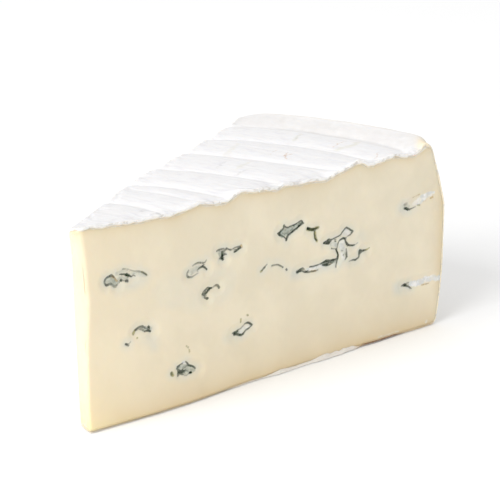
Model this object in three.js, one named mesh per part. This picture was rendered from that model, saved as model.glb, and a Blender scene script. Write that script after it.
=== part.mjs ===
// A wedge of soft blue-veined cheese, one twelfth of a ripened wheel, resting on its base.
//
// Frame: millimetres, +Z up, origin at the middle of the base. The blunt nose, cut short of the
// wheel's centre, points to -X and the rim of the wheel to +X. The front cut faces -Y.
//
// The body is a box whose three directions become: out along the wheel's radius, across the
// wedge from the front cut to the back cut, and up. The cut faces are dented where a vein opened
// into a pocket.

import * as THREE from 'three';
import { mergeVertices } from 'three/addons/utils/BufferGeometryUtils.js';

// Driving dimensions of the wheel and of the cut.
const WHEEL_RADIUS = 122;
const WHEEL_HEIGHT = 48;
const CUT_ANGLE = THREE.MathUtils.degToRad(30);
const NOSE_RADIUS = 5.4;

// Rack marks pressed into the top: where each one crosses the front cut, the middle and the back
// cut, as a radius from the wheel's centre, its depth, and how far it falls and rises again.
const RACK_MARKS = [
  { front: 28.8, middle: 30.7, back: 31.3, depth: 0.9, fall: 2.0, rise: 3.0 },
  { front: 49.1, middle: 48.9, back: 47.8, depth: 1.0, fall: 2.0, rise: 3.0 },
  { front: 67.0, middle: 64.8, back: 63.6, depth: 1.0, fall: 2.0, rise: 4.0 },
  { front: 85.8, middle: 81.2, back: 81.2, depth: 0.9, fall: 2.5, rise: 2.5 },
  { front: 98.5, middle: 98.6, back: 96.5, depth: 1.0, fall: 1.8, rise: 3.5 },
  { front: 112.5, middle: 114.2, back: 112.0, depth: 0.9, fall: 3.0, rise: 1.5 },
];

// The rim of the wheel: a raised lip on top that ends at the back cut, and sides that lean in above
// and below, above most of all at the front cut.
const LIP_HEIGHT = 2.1;
const LIP_START = { front: 111, middle: 113, back: 111 };
const LIP_RUN = 8;
const LIP_END_LENGTH = 5;
const RIM_LEAN_TOP = 0.95;
const RIM_LEAN_TOP_FRONT = 5.7;
const RIM_LEAN_FRONT_LENGTH = 4.4;
const RIM_LEAN_TOP_FROM = 0.67;
const RIM_LEAN_BOTTOM = 2.2;
const RIM_LEAN_BOTTOM_TO = 0.38;
const RIM_LEAN_LENGTH = 26;
const RIM_RADIUS_TOP = 2.5;
const RIM_RADIUS_BOTTOM = 1.8;

// The soft paste: the nose leans back at its foot towards the back cut and is hollow halfway up
// towards the front cut, the foot of the front cut swells, the back cut bows out and its top edge sags.
const NOSE_OVERHANG = 0.9;
const NOSE_LEAN = 2.6;
const NOSE_HOLLOW = 0.9;
const NOSE_HOLLOW_AT = 0.66;
const NOSE_HOLLOW_SPREAD = 0.2;
const NOSE_LEAN_LENGTH = 35;
const NOSE_EDGE_RADIUS = 1.2;
const CUT_EDGE_RADIUS = 1.0;
const FOOT_SWELL = 1.4;
const FOOT_SWELL_AT = 30;
const FOOT_SWELL_LENGTH = 22;
const BACK_BOW = 2.4;
const BACK_BOW_AT = 49;
const BACK_BOW_LENGTH = 25;
const BACK_SAG = 0.4;
const BACK_SAG_LENGTH = 5;

// The base is flat on a four-sided patch, given along the middle of the wedge from the wheel's
// centre, and curls up a little outside it.
const BASE_NOSE_END = 14;
const BASE_NOSE_HALF_WIDTH = 2;
const BASE_RIM_END = 113.5;
const BASE_RIM_HALF_WIDTH = 25;
const BASE_CURL = 0.1;
const BASE_CURL_HEIGHT = 6;

// Vein pockets: dents along short paths, each point given as [radius, height] on its cut face.
const POCKET_DEPTH = 1.1;
const POCKET_SLOPE = 1.0;
const FRONT_POCKETS = [
  { width: 1.8, path: [[12.8, 34.8], [14.2, 35.0], [15.6, 34.0]] },
  { width: 0.9, path: [[16.6, 35.6], [18.2, 35.3], [19.8, 34.7]] },
  { width: 1.1, path: [[36.3, 31.6], [38.0, 31.5], [40.4, 32.4], [41.6, 31.9]] },
  { width: 1.3, path: [[45.4, 35.2], [46.7, 34.3], [46.8, 33.2]] },
  { width: 0.8, path: [[48.2, 35.3], [50.2, 34.9], [52.2, 34.9]] },
  { width: 0.9, path: [[41.7, 24.7], [41.0, 25.8], [42.6, 26.8], [45.2, 26.8]] },
  { width: 0.9, path: [[20.2, 21.2], [22.0, 21.9], [24.0, 21.4], [25.1, 20.5]] },
  { width: 2.2, path: [[33.4, 8.8], [35.6, 8.7], [37.8, 8.2]] },
  { width: 1.5, path: [[49.8, 13.9], [52.4, 14.2], [55.2, 14.8]] },
  { width: 2.0, path: [[65.0, 35.9], [67.4, 35.9], [71.4, 36.9]] },
  { width: 0.7, path: [[73.9, 35.4], [75.4, 34.8], [76.9, 34.7]] },
  { width: 1.2, path: [[79.8, 30.5], [81.6, 30.7], [84.6, 31.2]] },
  { width: 1.4, path: [[86.2, 32.1], [87.2, 32.1], [88.6, 31.6]] },
  { width: 0.9, path: [[84.0, 26.6], [84.2, 28.6], [85.4, 30.2], [86.8, 29.2], [89.4, 28.1]] },
  { width: 1.2, path: [[70.6, 24.8], [75.0, 24.7], [79.6, 25.1], [82.8, 25.4]] },
  { width: 0.7, path: [[89.2, 24.1], [91.2, 24.2], [92.2, 25.7], [93.8, 25.8]] },
  { width: 1.4, path: [[107.4, 34.0], [111.0, 34.7], [117.0, 36.1]] },
  { width: 1.3, path: [[107.2, 13.3], [111.4, 12.9], [117.0, 13.1]] },
];
const BACK_POCKETS = [
  { width: 1.2, path: [[14.5, 19.0], [16.8, 20.2], [19.4, 19.6]] },
  { width: 1.6, path: [[23.0, 33.6], [25.2, 34.6], [28.0, 34.2], [30.4, 32.8]] },
  { width: 0.9, path: [[31.5, 14.2], [33.0, 15.6], [35.6, 15.4]] },
  { width: 1.9, path: [[41.0, 27.4], [43.6, 28.4], [46.8, 27.6]] },
  { width: 0.9, path: [[47.6, 38.2], [50.6, 38.6], [53.8, 37.6]] },
  { width: 1.4, path: [[54.0, 18.2], [57.2, 17.4], [60.2, 18.6]] },
  { width: 1.0, path: [[61.0, 31.2], [63.6, 32.6], [66.6, 32.0], [69.8, 33.2]] },
  { width: 2.0, path: [[73.4, 23.2], [76.6, 24.4], [80.2, 23.8]] },
  { width: 1.0, path: [[81.6, 10.8], [84.8, 11.6], [87.6, 10.6]] },
  { width: 0.9, path: [[84.2, 36.0], [87.2, 35.2], [90.4, 35.8]] },
  { width: 1.2, path: [[92.6, 27.0], [95.4, 25.8], [98.6, 26.6]] },
  { width: 1.4, path: [[106.4, 20.6], [111.0, 21.2], [117.0, 20.8]] },
];

// Grid lines of the body, as shares of a bay between two rack marks, of the width and of the height.
const NOSE_BAY = [0, 0.025, 0.07, 0.17, 0.28, 0.39, 0.5, 0.61, 0.72, 0.83, 0.93];
const TOP_BAY = [0, 0.05, 0.16, 0.3, 0.44, 0.58, 0.72, 0.87];
const RIM_BAY = [0, 0.06, 0.18, 0.32, 0.46, 0.6, 0.72, 0.82, 0.91, 0.97, 1];
const WIDTH_LINES = [0, 0.015, 0.05, 0.1, 0.19, 0.31, 0.44, 0.58, 0.72, 0.85, 0.95, 0.985, 1];
const FOOT_LINES = [0, 0.012, 0.035, 0.07];
const CROWN_LINES = [0.93, 0.962, 0.985, 1];
const SIDE_LINE_COUNT = 20;

const FRONT_NORMAL = new THREE.Vector3(-Math.sin(CUT_ANGLE / 2), -Math.cos(CUT_ANGLE / 2), 0);
const BACK_NORMAL = new THREE.Vector3(-Math.sin(CUT_ANGLE / 2), Math.cos(CUT_ANGLE / 2), 0);

const { clamp, lerp, smoothstep } = THREE.MathUtils;

// The parabola through three values: at the front cut, the middle and the back cut.
function across(front, middle, back, share) {
  return front * (2 * (share - 0.5) * (share - 1)) + middle * (4 * share * (1 - share))
    + back * (2 * share * (share - 0.5));
}

// A rounded corner between two faces, from the depths below each: the square of that size is
// pulled onto a quarter disc.
function roundCorner(depthA, depthB, radius) {
  const a = Math.max(radius - depthA, 0);
  const b = Math.max(radius - depthB, 0);
  if (a === 0 || b === 0) return [depthA, depthB];
  const pull = Math.max(a, b) / Math.hypot(a, b);
  return [radius - a * pull, radius - b * pull];
}

// The radius of a grid line: whole numbers of line are the nose, each rack mark and the rim.
function lineRadius(line, share) {
  const stops = [
    { front: NOSE_RADIUS, middle: NOSE_RADIUS, back: NOSE_RADIUS },
    ...RACK_MARKS,
    { front: WHEEL_RADIUS, middle: WHEEL_RADIUS, back: WHEEL_RADIUS },
  ];
  const bay = Math.min(Math.floor(line), stops.length - 2);
  const along = line - bay;
  const radiusAt = (stop) => across(stop.front, stop.middle, stop.back, share);
  return lerp(radiusAt(stops[bay]), radiusAt(stops[bay + 1]), along);
}

// Rack marks: each falls away on the nose side and rises again on the rim side.
function rackRelief(radius, share) {
  let relief = 0;
  for (const mark of RACK_MARKS) {
    const past = radius - across(mark.front, mark.middle, mark.back, share);
    relief -= mark.depth * Math.exp(-Math.abs(past) / (past < 0 ? mark.fall : mark.rise));
  }
  return relief;
}

// The raised lip along the rim, which runs out at the back cut.
function lipRelief(radius, share, fromBackCut) {
  const start = across(LIP_START.front, LIP_START.middle, LIP_START.back, share);
  const end = 1 - Math.exp(-fromBackCut / LIP_END_LENGTH);
  return LIP_HEIGHT * smoothstep(radius, start, start + LIP_RUN) * end;
}

// How far the rim leans in at a share of the height.
function rimLean(heightShare, fromFrontCut) {
  const above = clamp((heightShare - RIM_LEAN_TOP_FROM) / (1 - RIM_LEAN_TOP_FROM), 0, 1);
  const below = clamp((RIM_LEAN_BOTTOM_TO - heightShare) / RIM_LEAN_BOTTOM_TO, 0, 1);
  const nearFront = Math.exp(-((fromFrontCut / RIM_LEAN_FRONT_LENGTH) ** 2));
  return lerp(RIM_LEAN_TOP, RIM_LEAN_TOP_FRONT, nearFront) * above ** 1.2 + RIM_LEAN_BOTTOM * below ** 1.8;
}

// How far the nose stands back at a share of the height and a share of the way across.
function noseLean(heightShare, share) {
  const hollow = NOSE_HOLLOW * Math.exp(-(((heightShare - NOSE_HOLLOW_AT) / NOSE_HOLLOW_SPREAD) ** 2));
  return NOSE_OVERHANG * (1 - heightShare ** 8) + lerp(hollow, NOSE_LEAN * (1 - heightShare), share);
}

// How far a point of the foot curls up: in proportion to its distance outside the base's flat patch.
function footCurl(x, y, z) {
  const spread = (BASE_RIM_HALF_WIDTH - BASE_NOSE_HALF_WIDTH) / (BASE_RIM_END - BASE_NOSE_END);
  const halfWidth = BASE_NOSE_HALF_WIDTH + spread * (x - BASE_NOSE_END);
  const pastSide = (Math.abs(y) - halfWidth) / Math.hypot(1, spread);
  const outside = Math.max(BASE_NOSE_END - x, x - BASE_RIM_END, pastSide, 0);
  return BASE_CURL * outside * clamp(1 - z / BASE_CURL_HEIGHT, 0, 1);
}

// The distance from a point of a cut face to a path drawn on it.
function distanceToPath(radius, height, path) {
  const point = new THREE.Vector3(radius, height, 0);
  const closest = new THREE.Vector3();
  let distance = Infinity;
  for (let i = 1; i < path.length; i += 1) {
    const stretch = new THREE.Line3(new THREE.Vector3(...path[i - 1], 0), new THREE.Vector3(...path[i], 0));
    stretch.closestPointToPoint(point, true, closest);
    distance = Math.min(distance, closest.distanceTo(point));
  }
  return distance;
}

// How deep a cut face is dented at a point by its vein pockets.
function pocketDepth(radius, height, pockets) {
  let depth = 0;
  for (const pocket of pockets) {
    const past = distanceToPath(radius, height, pocket.path) - pocket.width / 2;
    depth = Math.max(depth, POCKET_DEPTH * (1 - smoothstep(past, 0, POCKET_SLOPE)));
  }
  return depth;
}

// Where a point of the body lies: its radius in the wheel, its share of the way from the front
// cut to the back cut, and its height, all before the edges are rounded and the paste settles.
function bodyPoint(radius, share, height) {
  let r = radius;
  let z = height;
  let [inward, down] = roundCorner(WHEEL_RADIUS - r, WHEEL_HEIGHT - z, RIM_RADIUS_TOP);
  r = WHEEL_RADIUS - inward;
  z = WHEEL_HEIGHT - down;
  [inward, z] = roundCorner(WHEEL_RADIUS - r, z, RIM_RADIUS_BOTTOM);
  r = WHEEL_RADIUS - inward;
  [inward, z] = roundCorner(r - NOSE_RADIUS, z, NOSE_EDGE_RADIUS);
  r = NOSE_RADIUS + inward;

  const width = r * CUT_ANGLE;
  let fromFront;
  let fromBack;
  [fromFront, z] = roundCorner(share * width, z, CUT_EDGE_RADIUS);
  [fromBack, z] = roundCorner(width - fromFront, z, CUT_EDGE_RADIUS);
  const s = 1 - fromBack / width;
  const up = z / WHEEL_HEIGHT;

  const nearNose = clamp(1 - (r - NOSE_RADIUS) / NOSE_LEAN_LENGTH, 0, 1) ** 2;
  const lean = rimLean(up, fromFront) * smoothstep(r, WHEEL_RADIUS - RIM_LEAN_LENGTH, WHEEL_RADIUS);
  const settled = r - lean + noseLean(up, s) * nearNose;

  const sag = BACK_SAG * Math.exp(-fromBack / BACK_SAG_LENGTH);
  const relief = rackRelief(r, s) + lipRelief(r, s, fromBack) - sag;
  const turn = (s - 0.5) * CUT_ANGLE;
  const point = new THREE.Vector3(settled * Math.cos(turn), settled * Math.sin(turn), z + relief * up ** 6);

  const swell = FOOT_SWELL * (1 - up) ** 2 * Math.exp(-(((r - FOOT_SWELL_AT) / FOOT_SWELL_LENGTH) ** 2));
  const bow = BACK_BOW * Math.exp(-(((r - BACK_BOW_AT) / BACK_BOW_LENGTH) ** 2));
  point.addScaledVector(FRONT_NORMAL, swell * (1 - s));
  point.addScaledVector(BACK_NORMAL, bow * s);
  if (share === 0) point.addScaledVector(FRONT_NORMAL, -pocketDepth(settled, z, FRONT_POCKETS));
  if (share === 1) point.addScaledVector(BACK_NORMAL, -pocketDepth(settled, z, BACK_POCKETS));
  point.z += footCurl(point.x, point.y, point.z);
  return point;
}

// All the grid lines along the radius, counted in bays from the nose.
function radialLines() {
  const lines = [];
  for (let bay = 0; bay < RACK_MARKS.length; bay += 1) {
    const shares = bay === 0 ? NOSE_BAY : TOP_BAY;
    lines.push(...shares.map((share) => bay + share));
  }
  lines.push(...RIM_BAY.map((share) => RACK_MARKS.length + share));
  return lines;
}

// All the grid lines up the height, as shares of it.
function heightLines() {
  const sides = [];
  const foot = FOOT_LINES.at(-1);
  for (let line = 1; line < SIDE_LINE_COUNT; line += 1) {
    sides.push(lerp(foot, CROWN_LINES[0], line / SIDE_LINE_COUNT));
  }
  return [...FOOT_LINES, ...sides, ...CROWN_LINES];
}

// The whole body: a box whose grid lines are moved to their places in the wedge.
function bodyGeometry() {
  const along = radialLines();
  const up = heightLines();
  const counts = [along.length - 1, WIDTH_LINES.length - 1, up.length - 1];
  const box = new THREE.BoxGeometry(1, 1, 1, ...counts);
  box.deleteAttribute('normal');
  box.deleteAttribute('uv');
  const body = mergeVertices(box);
  const position = body.getAttribute('position');
  const index = (value, count) => Math.round((value + 0.5) * count);
  for (let i = 0; i < position.count; i += 1) {
    const share = WIDTH_LINES[index(position.getY(i), counts[1])];
    const height = up[index(position.getZ(i), counts[2])] * WHEEL_HEIGHT;
    const radius = lineRadius(along[index(position.getX(i), counts[0])], share);
    const point = bodyPoint(radius, share, height);
    position.setXYZ(i, point.x, point.y, point.z);
  }
  body.computeVertexNormals();
  return body;
}

const cheese = new THREE.Mesh(
  bodyGeometry(),
  new THREE.MeshStandardMaterial({ color: 0xe6d8be, roughness: 0.6, metalness: 0 }),
);
cheese.name = 'cheese_wedge';

// The origin goes to the middle of the base.
cheese.geometry.computeBoundingBox();
const middle = cheese.geometry.boundingBox.getCenter(new THREE.Vector3());
cheese.position.set(-middle.x, -middle.y, -cheese.geometry.boundingBox.min.z);

const wedge = new THREE.Group();
wedge.add(cheese);

export default wedge;
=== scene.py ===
"""A wedge of soft blue-veined cheese: its ivory paste, the white rind round it and loose rind crumbs.

Forms are worked out in millimetres from the axis of the wheel that the wedge was cut from: radius
runs out along the wedge, share across it from the front cut (0) to the back cut (1), height up.
A piece goes into the frame, in metres, when its mesh is written.
"""

from __future__ import annotations

import logging
import math
from collections.abc import Mapping, Sequence
from dataclasses import dataclass
from enum import Enum
from typing import Any

import bpy
import numpy as np
from mathutils import Matrix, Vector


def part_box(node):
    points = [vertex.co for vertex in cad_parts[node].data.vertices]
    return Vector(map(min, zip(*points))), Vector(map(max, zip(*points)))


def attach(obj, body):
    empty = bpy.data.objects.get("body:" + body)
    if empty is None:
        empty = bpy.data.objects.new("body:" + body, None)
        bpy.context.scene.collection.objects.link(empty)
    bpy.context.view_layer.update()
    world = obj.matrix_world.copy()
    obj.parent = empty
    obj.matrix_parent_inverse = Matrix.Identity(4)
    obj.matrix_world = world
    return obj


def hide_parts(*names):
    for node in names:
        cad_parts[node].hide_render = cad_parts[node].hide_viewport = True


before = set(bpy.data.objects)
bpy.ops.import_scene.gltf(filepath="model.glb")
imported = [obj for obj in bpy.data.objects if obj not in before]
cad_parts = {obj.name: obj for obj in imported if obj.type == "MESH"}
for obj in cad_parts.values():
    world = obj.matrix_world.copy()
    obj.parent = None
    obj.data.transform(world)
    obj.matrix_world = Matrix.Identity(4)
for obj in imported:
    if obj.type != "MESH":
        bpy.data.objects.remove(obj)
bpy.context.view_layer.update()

LOG = logging.getLogger("cheese")
CAD_NODE = "cheese_wedge"
MM = 0.001
FAR = 9.0  # mm: the distance a point has to a growth that isn't near it

Array = np.ndarray
Point = tuple[float, float]
Path = tuple[Point, ...]
Triple = tuple[float, float, float]
Socket = bpy.types.NodeSocket
Tree = bpy.types.NodeTree


# ------------------------ numbers


def lerp(start: Array | float, end: Array | float, share: Array | float) -> Array:
    """The value that lies a share of the way from start to end."""
    return start + (end - start) * share


def eased(value: Array, start: Array | float, end: Array | float) -> Array:
    """Rises from 0 at start to 1 at end as 3t² − 2t³, t being the clamped share of the way."""
    t = np.clip((value - start) / (end - start), 0.0, 1.0)
    return t * t * (3.0 - 2.0 * t)


def across(front: float, middle: float, back: float, share: Array) -> Array:
    """Works out the parabola in share through three values.

    Args:
        front: The value at the front cut.
        middle: The value halfway.
        back: The value at the back cut.
        share: The share of the way across.

    Returns:
        The parabola's value at each share.
    """
    return (
        front * 2.0 * (share - 0.5) * (share - 1.0)
        + middle * 4.0 * share * (1.0 - share)
        + back * 2.0 * share * (share - 0.5)
    )


def bell(distance: Array, length: float) -> Array:
    """The bell curve exp(−(distance / length)²), which is 1 where the distance is 0."""
    return np.exp(-((distance / length) ** 2))


def interpolated(places: Array, table: Sequence[Point]) -> Array:
    """Reads a table of (place, value) at places, on straight lines between its points."""
    return np.interp(places, *np.array(table).T)


def rounded(depth_a: Array, depth_b: Array, radius: float) -> tuple[Array, Array]:
    """Rounds the corner between two faces by pulling a square of it onto a quarter disc.

    Where both depths are under the radius, the vector from the corner square's inner corner to the
    point is made shorter by max(a, b) / hypot(a, b), a and b being its two parts.

    Args:
        depth_a: How far each point lies below the first face.
        depth_b: How far it lies below the second face.
        radius: The radius of the rounding.

    Returns:
        The two depths after rounding.
    """
    a = np.maximum(radius - depth_a, 0.0)
    b = np.maximum(radius - depth_b, 0.0)
    inside = (a > 0.0) & (b > 0.0)
    pull = np.where(inside, np.maximum(a, b) / np.maximum(np.hypot(a, b), 1e-9), 1.0)
    return np.where(inside, radius - a * pull, depth_a), np.where(inside, radius - b * pull, depth_b)


@dataclass(frozen=True)
class LatticeNoise:
    """Smooth random values in space, between about −1 and 1, the same in every run."""

    seed: int
    size: float  # mm between the values of the coarsest lattice
    octaves: int = 1
    cells: int = 48

    def at(self, points: Array) -> Array:
        """Reads the noise.

        Each octave mixes the eight seeded values round a point with eased weights, and the octaves,
        each of half the size and half the strength of the last, are added and scaled back.

        Args:
            points: Places in mm, shape (..., 3).

        Returns:
            One value for each place.
        """
        table = np.random.default_rng(self.seed).uniform(-1.0, 1.0, (self.cells,) * 3)
        total = np.zeros(points.shape[:-1])
        weight = 0.0
        for octave in range(self.octaves):
            strength = 0.5**octave
            place = points * (2.0**octave / self.size) + 17.3 * octave
            low = np.floor(place).astype(int)
            part = place - low
            part = part * part * (3.0 - 2.0 * part)
            for corner in np.ndindex(2, 2, 2):
                index = (low + corner) % self.cells
                mix = np.prod(np.where(np.array(corner) == 1, part, 1.0 - part), axis=-1)
                total += strength * mix * table[index[..., 0], index[..., 1], index[..., 2]]
            weight += strength
        return total / weight


# ------------------------ the wedge's form


@dataclass(frozen=True)
class RackMark:
    """A dent that a bar of the ripening rack left across the top.

    front, middle and back are its radius at the front cut, halfway and at the back cut. The top
    sinks to it over about the length fall and comes up again over about the length rise.
    """

    front: float
    middle: float
    back: float
    depth: float
    fall: float
    rise: float


@dataclass(frozen=True)
class Pocket:
    """A hollow that a vein opened in a cut face, along a path of [radius, height] points."""

    width: float
    path: Path


@dataclass(frozen=True)
class WedgeForm:
    """The outside of the wedge: one twelfth of a wheel, blunt at the nose, settled on its base."""

    wheel_radius: float = 122.0
    wheel_height: float = 48.0
    cut_angle: float = math.radians(30.0)
    nose_radius: float = 5.4
    marks: tuple[RackMark, ...] = (
        RackMark(28.8, 30.7, 31.3, depth=0.9, fall=2.0, rise=3.0),
        RackMark(41.0, 41.7, 42.5, depth=0.35, fall=1.4, rise=2.0),
        RackMark(49.1, 48.9, 47.8, depth=1.0, fall=2.0, rise=3.0),
        RackMark(67.0, 64.8, 63.6, depth=1.0, fall=2.0, rise=4.0),
        RackMark(85.8, 81.2, 81.2, depth=0.9, fall=2.5, rise=2.5),
        RackMark(98.5, 98.6, 96.5, depth=1.0, fall=1.8, rise=3.5),
        RackMark(112.5, 114.2, 112.0, depth=0.9, fall=3.0, rise=1.5),
    )
    lip_height: float = 2.1
    lip_start: Triple = (111.0, 113.0, 111.0)  # as a mark's front, middle, back
    lip_run: float = 8.0
    lip_end_length: float = 5.0
    rim_lean_top: float = 0.95
    rim_lean_top_front: float = 5.7
    rim_lean_front_length: float = 4.4
    rim_lean_top_from: float = 0.67
    rim_lean_bottom: float = 2.2
    rim_lean_bottom_to: float = 0.38
    rim_lean_length: float = 26.0
    rim_lean_powers: Point = (1.2, 1.8)  # above and below
    rim_radius_top: float = 2.5
    rim_radius_bottom: float = 1.8
    nose_overhang: float = 0.9
    nose_overhang_power: int = 8
    nose_lean: float = 2.6
    nose_hollow: float = 0.9
    nose_hollow_at: float = 0.66
    nose_hollow_spread: float = 0.2
    nose_lean_length: float = 35.0
    nose_edge_radius: float = 0.6
    nose_side_radius: float = 1.5
    cut_edge_radius: float = 0.3
    foot_swell: float = 1.4
    foot_swell_at: float = 30.0
    foot_swell_length: float = 22.0
    back_bow: float = 2.4
    back_bow_at: float = 49.0
    back_bow_length: float = 25.0
    back_sag: float = 0.4
    back_sag_length: float = 5.0
    base_nose_end: float = 14.0
    base_nose_half_width: float = 2.0
    base_rim_end: float = 113.5
    base_rim_half_width: float = 25.0
    base_curl: float = 0.015
    base_curl_height: float = 6.0
    foot_wave: LatticeNoise = LatticeNoise(seed=37, size=9.0, octaves=2)
    foot_wave_height: float = 0.35
    foot_wave_length: float = 2.5
    slot_start: Point = (92.0, 94.0)
    slot_end: Point = (102.0, 112.0)
    slot_height: float = 0.28
    slot_reach: float = 2.0
    relief_power: int = 6
    box_samples: tuple[int, int, int] = (200, 21, 97)  # along, across and up
    rind_edge: float = 1.0
    brow_length: float = 2.8
    brow_end: Point = (112.0, 115.0)
    paste_border: Path = (  # [reach, height] on the front cut
        (5.0, 48.0), (9.0, 47.9), (12.0, 47.4), (15.0, 47.2), (20.0, 46.7), (23.0, 46.4),
        (27.0, 46.6), (31.0, 46.2), (33.0, 46.2), (37.0, 46.9), (39.5, 47.5), (41.0, 47.1),
        (45.0, 46.4), (48.5, 46.3), (52.5, 47.9), (54.0, 47.9), (56.0, 47.4), (60.0, 47.1),
        (64.0, 46.4), (66.0, 47.1), (68.0, 46.9), (72.0, 46.4), (75.0, 46.5), (80.0, 45.9),
        (83.0, 46.8), (87.0, 47.5), (90.0, 48.4), (91.5, 48.5), (94.0, 47.2), (96.0, 47.0),
        (100.0, 47.7), (103.0, 48.0), (107.0, 47.3), (110.0, 47.0), (112.5, 47.7), (115.0, 48.8),
    )

    @property
    def front_normal(self) -> Array:
        """The direction that the front cut faces."""
        half = self.cut_angle / 2.0
        return np.array([-math.sin(half), -math.cos(half), 0.0])

    @property
    def back_normal(self) -> Array:
        """The direction that the back cut faces."""
        return self.front_normal * [1.0, -1.0, 1.0]

    def rack_relief(self, radius: Array, share: Array) -> Array:
        """Lowers the top by each rack mark's depth × exp(−distance / fall or rise).

        Args:
            radius: The radius of each point.
            share: Its share of the way across.

        Returns:
            How far the top moves up, which is below 0.
        """
        relief = np.zeros_like(radius)
        for mark in self.marks:
            past = radius - across(mark.front, mark.middle, mark.back, share)
            relief -= mark.depth * np.exp(-np.abs(past) / np.where(past < 0.0, mark.fall, mark.rise))
        return relief

    def lip_relief(self, radius: Array, share: Array, from_back: Array) -> Array:
        """Raises the top by the rim's lip: an eased step that runs out at the back cut.

        Args:
            radius: The radius of each point.
            share: Its share of the way across.
            from_back: Its distance from the back cut.

        Returns:
            How far the top moves up.
        """
        start = across(*self.lip_start, share)
        end = 1.0 - np.exp(-from_back / self.lip_end_length)
        return self.lip_height * eased(radius, start, start + self.lip_run) * end

    def border(self, reach: Array) -> Array:
        """The height of the border between rind and paste on the front cut, straight between points."""
        return interpolated(reach, self.paste_border)

    def brow_relief(self, radius: Array, reach: Array, from_front: Array, width: Array) -> Array:
        """Moves the top so that it ends a rind's thickness above the border at the front cut.

        The move wears off as a bell curve in the distance from the cut, and towards the rim.

        Args:
            radius: The radius of each point.
            reach: Its distance from the wheel's axis once the rim and the nose lean.
            from_front: Its distance from the front cut.
            width: How wide the wedge is there.

        Returns:
            How far the top moves up.
        """
        none = np.zeros_like(radius)
        edge = self.wheel_height + self.rack_relief(radius, none) + self.lip_relief(radius, none, width)
        near = bell(from_front, self.brow_length) * (1.0 - eased(reach, *self.brow_end))
        return (self.border(reach) + self.rind_edge - edge) * near

    def rim_lean(self, up: Array, from_front: Array) -> Array:
        """Leans the rim in by a power curve above, larger near the front cut, and one below.

        Args:
            up: The share of the height.
            from_front: The distance from the front cut.

        Returns:
            How far the rim leans in.
        """
        above = np.clip((up - self.rim_lean_top_from) / (1.0 - self.rim_lean_top_from), 0.0, 1.0)
        below = np.clip((self.rim_lean_bottom_to - up) / self.rim_lean_bottom_to, 0.0, 1.0)
        near_front = bell(from_front, self.rim_lean_front_length)
        top = lerp(self.rim_lean_top, self.rim_lean_top_front, near_front)
        upper_power, lower_power = self.rim_lean_powers
        return top * above**upper_power + self.rim_lean_bottom * below**lower_power

    def nose_stand(self, up: Array, share: Array) -> Array:
        """Sets the nose back: an overhang, a hollow near the front cut, a lean near the back cut.

        Args:
            up: The share of the height.
            share: The share of the way across.

        Returns:
            How far the nose stands back.
        """
        overhang = self.nose_overhang * (1.0 - up**self.nose_overhang_power)
        hollow = self.nose_hollow * bell(up - self.nose_hollow_at, self.nose_hollow_spread)
        return overhang + lerp(hollow, self.nose_lean * (1.0 - up), share)

    def foot_curl(self, points: Array) -> Array:
        """Curls the foot up in proportion to the distance outside the base's flat patch.

        Args:
            points: The points before that.

        Returns:
            How far each moves up.
        """
        x, y, z = np.moveaxis(points, -1, 0)
        spread = (self.base_rim_half_width - self.base_nose_half_width) / (
            self.base_rim_end - self.base_nose_end
        )
        half_width = self.base_nose_half_width + spread * (x - self.base_nose_end)
        past_side = (np.abs(y) - half_width) / math.hypot(1.0, spread)
        outside = np.maximum.reduce([self.base_nose_end - x, x - self.base_rim_end, past_side, 0.0 * x])
        return self.base_curl * outside * np.clip(1.0 - z / self.base_curl_height, 0.0, 1.0)

    def place(self, radius: Array, share: Array, height: Array) -> Array:
        """Finds where points of the wedge lie once its edges are rounded and the paste has settled.

        Each edge is rounded, the rim and the nose lean, the top takes its marks, lip and brow in
        proportion to a power of the height, and the cut faces swell along their normals by bell
        curves. The front foot ripples, and over the slot it is lifted; both wear off exponentially.

        Args:
            radius: Radius in the wheel before that, in mm.
            share: Share of the way from the front cut to the back cut.
            height: Height in the wheel, in mm.

        Returns:
            The points in mm from the wheel's axis, shape (..., 3).
        """
        radius, share, height = np.broadcast_arrays(radius, share, height)
        inward, down = rounded(self.wheel_radius - radius, self.wheel_height - height, self.rim_radius_top)
        inward, z = rounded(inward, self.wheel_height - down, self.rim_radius_bottom)
        inward, z = rounded(self.wheel_radius - inward - self.nose_radius, z, self.nose_edge_radius)
        from_front, inward = rounded(share * radius * self.cut_angle, inward, self.nose_side_radius)
        from_back, inward = rounded(radius * self.cut_angle - from_front, inward, self.nose_side_radius)
        r = self.nose_radius + inward

        width = radius * self.cut_angle
        from_front, z = rounded(width - from_back, z, self.cut_edge_radius)
        from_back, z = rounded(width - from_front, z, self.cut_edge_radius)
        s = 1.0 - from_back / width
        up = z / self.wheel_height

        near_nose = np.clip(1.0 - (r - self.nose_radius) / self.nose_lean_length, 0.0, 1.0) ** 2
        near_rim = eased(r, self.wheel_radius - self.rim_lean_length, self.wheel_radius)
        settled = r - self.rim_lean(up, from_front) * near_rim + self.nose_stand(up, s) * near_nose

        sag = self.back_sag * np.exp(-from_back / self.back_sag_length)
        relief = self.rack_relief(r, s) + self.lip_relief(r, s, from_back) - sag
        relief += self.brow_relief(r, settled, from_front, width)
        turn = (s - 0.5) * self.cut_angle
        lifted = z + relief * up**self.relief_power
        points = np.stack([settled * np.cos(turn), settled * np.sin(turn), lifted], axis=-1)

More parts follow.
